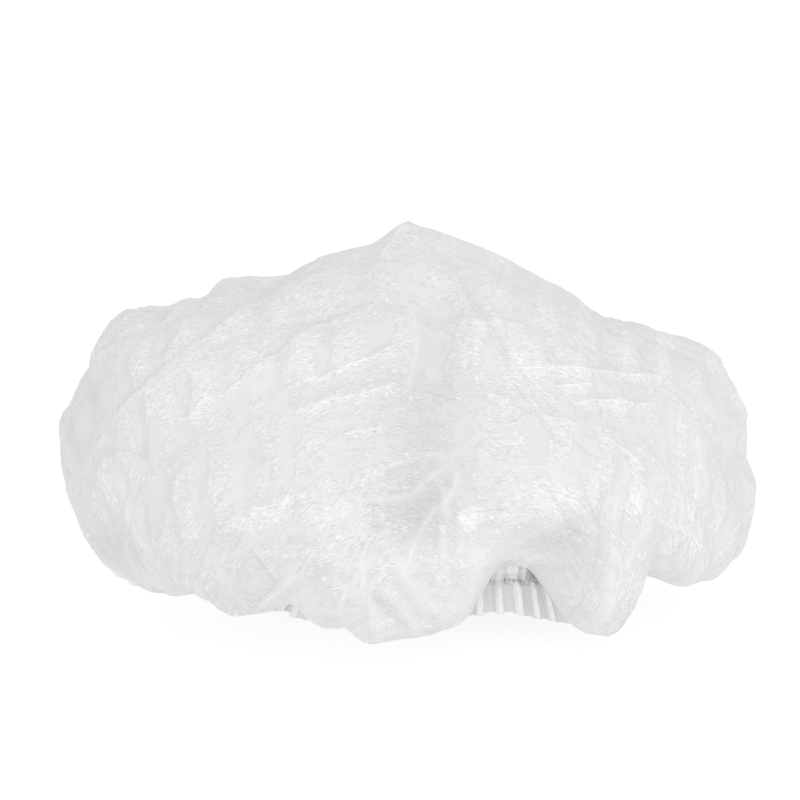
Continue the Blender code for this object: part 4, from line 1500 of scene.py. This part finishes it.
@dataclass
class GatherStitches:
    """The short upright stitches, laid along the gather line by Geometry Nodes.

    They show only in the hollows of the gathers, where the cosine of the gathers' phase is less than between, and
    their dark grey is partly painted shade in those pinched hollows.
    """

    pitch: float = 0.0017
    between: float = 0.20
    length: float = 0.0017
    thick: float = 0.0004
    stand_off: float = 0.0002
    seed: int = 5
    steps: int = 1440
    finish: YarnFinish = field(default_factory=lambda: YarnFinish(
        "gather_thread_painted_shade", dark=(0.22, 0.22, 0.22), light=(0.46, 0.46, 0.46), ribs=2400.0))

    def inputs(self) -> dict[str, float | int]:
        """The tree's inputs by name."""
        return {"Pitch": self.pitch, "Length": self.length, "Thickness": self.thick, "Seed": self.seed}

    def tree(self, material: bpy.types.Material) -> bpy.types.GeometryNodeTree:
        """Builds the tree that lays the stitches.

        Args:
            material: the thread's finish.

        Returns:
            The tree, whose inputs are the gather line, the pitch, the length, the thickness and the seed.
        """
        tree = bpy.data.node_groups.new("gather_stitches", "GeometryNodeTree")
        face = tree.interface
        face.new_socket("Geometry", in_out="INPUT", socket_type="NodeSocketGeometry")
        face.new_socket("Geometry", in_out="OUTPUT", socket_type="NodeSocketGeometry")
        for name, value in self.inputs().items():
            kind = "NodeSocketInt" if isinstance(value, int) else "NodeSocketFloat"
            face.new_socket(name, in_out="INPUT", socket_type=kind).default_value = value
        work = NodeWork(tree)
        given = work.node("NodeGroupInput")
        curve = work.node("GeometryNodeMeshToCurve", {}, {"Mesh": work.wire(given, "Geometry")})
        spaced = work.node("GeometryNodeResampleCurve", {"mode": "LENGTH"},
                           {"Curve": work.wire(curve), "Length": work.wire(given, "Pitch")})
        stitch = work.node("GeometryNodeMeshUVSphere", {}, {"Segments": 6, "Rings": 5, "Radius": 0.5})
        size = work.node("ShaderNodeCombineXYZ", {}, {
            0: work.wire(given, "Thickness"), 1: work.wire(given, "Thickness"), 2: work.wire(given, "Length")})
        shaped = work.node("GeometryNodeTransform", {}, {"Geometry": work.wire(stitch), "Scale": work.wire(size)})
        uneven = work.node("FunctionNodeRandomValue", {"data_type": "FLOAT"},
                           {2: 0.75, 3: 1.15, "Seed": work.wire(given, "Seed")})
        laid = work.node("GeometryNodeInstanceOnPoints", {}, {
            "Points": work.wire(spaced), "Instance": work.wire(shaped), "Scale": work.wire(uneven, 1)})
        real = work.node("GeometryNodeRealizeInstances", {}, {"Geometry": work.wire(laid)})
        smooth = work.node("GeometryNodeSetShadeSmooth", {}, {"Geometry": work.wire(real)})
        dressed = work.node("GeometryNodeSetMaterial", {}, {"Geometry": work.wire(smooth), "Material": material})
        work.node("NodeGroupOutput", {}, {"Geometry": work.wire(dressed)})
        return tree

    def build(self) -> bpy.types.Object:
        """Lays the stitches and makes them one plain mesh.

        Returns:
            The stitches' object.
        """
        azimuth = 2 * np.pi * np.arange(self.steps) / self.steps
        line = FORM.gather_line(azimuth)
        swing = FORM.gather_swing * np.cos(FORM.gather_phase(azimuth)) + self.stand_off
        points = FORM.opening_point(azimuth, swing, line) + FORM.frame_shift()
        path = bpy.data.meshes.new("gather_line")
        hollow = np.cos(FORM.gather_phase(azimuth)) < self.between
        path.from_pydata(points, [(i, (i + 1) % self.steps) for i in range(self.steps) if hollow[i]], [])
        guide = bpy.data.objects.new("gather_line", path)
        bpy.context.scene.collection.objects.link(guide)
        material = self.finish.made()
        tree = self.tree(material)
        laying = guide.modifiers.new("gather_stitches", "NODES")
        laying.node_group = tree
        for item in tree.interface.items_tree:
            if item.in_out == "INPUT" and item.name in self.inputs():
                laying[item.identifier] = self.inputs()[item.name]
        graph = bpy.context.evaluated_depsgraph_get()
        mesh = bpy.data.meshes.new_from_object(guide.evaluated_get(graph))
        bpy.data.objects.remove(guide)
        return new_piece("gather_stitches", mesh, material)


@dataclass(frozen=True)
class SoftLight:
    """A rectangular soft light, aimed at the cap."""

    name: str
    azimuth: float
    elevation: float
    distance: float
    size: float
    power: float


@dataclass
class Studio:
    """A plain pale floor, soft light all round, and the camera."""

    floor_size: float = 30.0
    floor_colour: float = 0.20
    floor_glow: float = 0.85
    world_light: float = 0.90
    lights: tuple[SoftLight, ...] = (
        SoftLight("key_light", 36.0, 38.0, 1.3, 0.45, 1.9),
        SoftLight("front_light", -12.0, 5.0, 1.4, 0.30, 1.3),
    )

    def floor(self) -> bpy.types.Object:
        """The floor, which isn't part of the cap.

        Returns:
            The floor's object.
        """
        mesh = bpy.data.meshes.new("floor")
        made = bmesh.new()
        bmesh.ops.create_grid(made, x_segments=4, y_segments=4, size=self.floor_size / 2)
        made.to_mesh(mesh)
        made.free()
        material = bpy.data.materials.new("floor")
        material.use_nodes = True
        shader = material.node_tree.nodes["Principled BSDF"]
        shader.inputs["Base Color"].default_value = (self.floor_colour,) * 3 + (1.0,)
        shader.inputs["Roughness"].default_value = 0.9
        shader.inputs["Specular IOR Level"].default_value = 0.0
        shader.inputs["Emission Color"].default_value = (1.0, 1.0, 1.0, 1.0)
        shader.inputs["Emission Strength"].default_value = self.floor_glow
        return new_piece("floor", mesh, material)

    def light(self, given: SoftLight) -> None:
        """Adds one soft light.

        Args:
            given: its place, size and power.
        """
        lamp = bpy.data.lights.new(given.name, "AREA")
        lamp.shape = "SQUARE"
        lamp.size = given.size
        lamp.energy = given.power
        made = bpy.data.objects.new(given.name, lamp)
        turn, rise = math.radians(given.azimuth), math.radians(given.elevation)
        way = Vector((math.sin(turn) * math.cos(rise), -math.cos(turn) * math.cos(rise), math.sin(rise)))
        made.location = Vector((0.0, 0.0, FORM.peak / 2)) + way * given.distance
        made.rotation_euler = way.to_track_quat("Z", "Y").to_euler()
        bpy.context.scene.collection.objects.link(made)

    def camera(self) -> None:
        """Places the camera at the front."""
        lens = bpy.data.cameras.new("front_camera")
        lens.lens = VIEW.lens
        lens.sensor_width = VIEW.sensor
        made = bpy.data.objects.new("front_camera", lens)
        back = Vector(VIEW.back())
        made.location = Vector(VIEW.target) + back * VIEW.distance
        made.rotation_euler = back.to_track_quat("Z", "Y").to_euler()
        bpy.context.scene.collection.objects.link(made)
        bpy.context.scene.camera = made

    def build(self) -> None:
        """Sets up the studio."""
        world = bpy.data.worlds.new("soft_white")
        world.use_nodes = True
        world.node_tree.nodes["Background"].inputs["Color"].default_value = (1.0, 1.0, 1.0, 1.0)
        world.node_tree.nodes["Background"].inputs["Strength"].default_value = self.world_light
        bpy.context.scene.world = world
        bpy.context.scene.view_settings.view_transform = "Standard"
        for given in self.lights:
            self.light(given)
        self.camera()
        self.floor()


def main() -> None:
    logging.basicConfig(level=logging.INFO, format="%(name)s: %(message)s")
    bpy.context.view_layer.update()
    Studio().build()
    crown_maker = Crown()
    crown = crown_maker.build()
    hem = HemRuffle().build()
    elastic = GatherElastic().build()
    stitches = GatherStitches().build()
    for piece, slot in ((crown, "crown_cloth"), (hem, "hem_cloth"), (elastic, "elastic"), (stitches, "hem_cloth")):
        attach(piece, "root")
    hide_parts("crown")
    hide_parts("hem_ruffle")
    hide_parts("elastic_band")


if __name__ == "__main__":
    main()
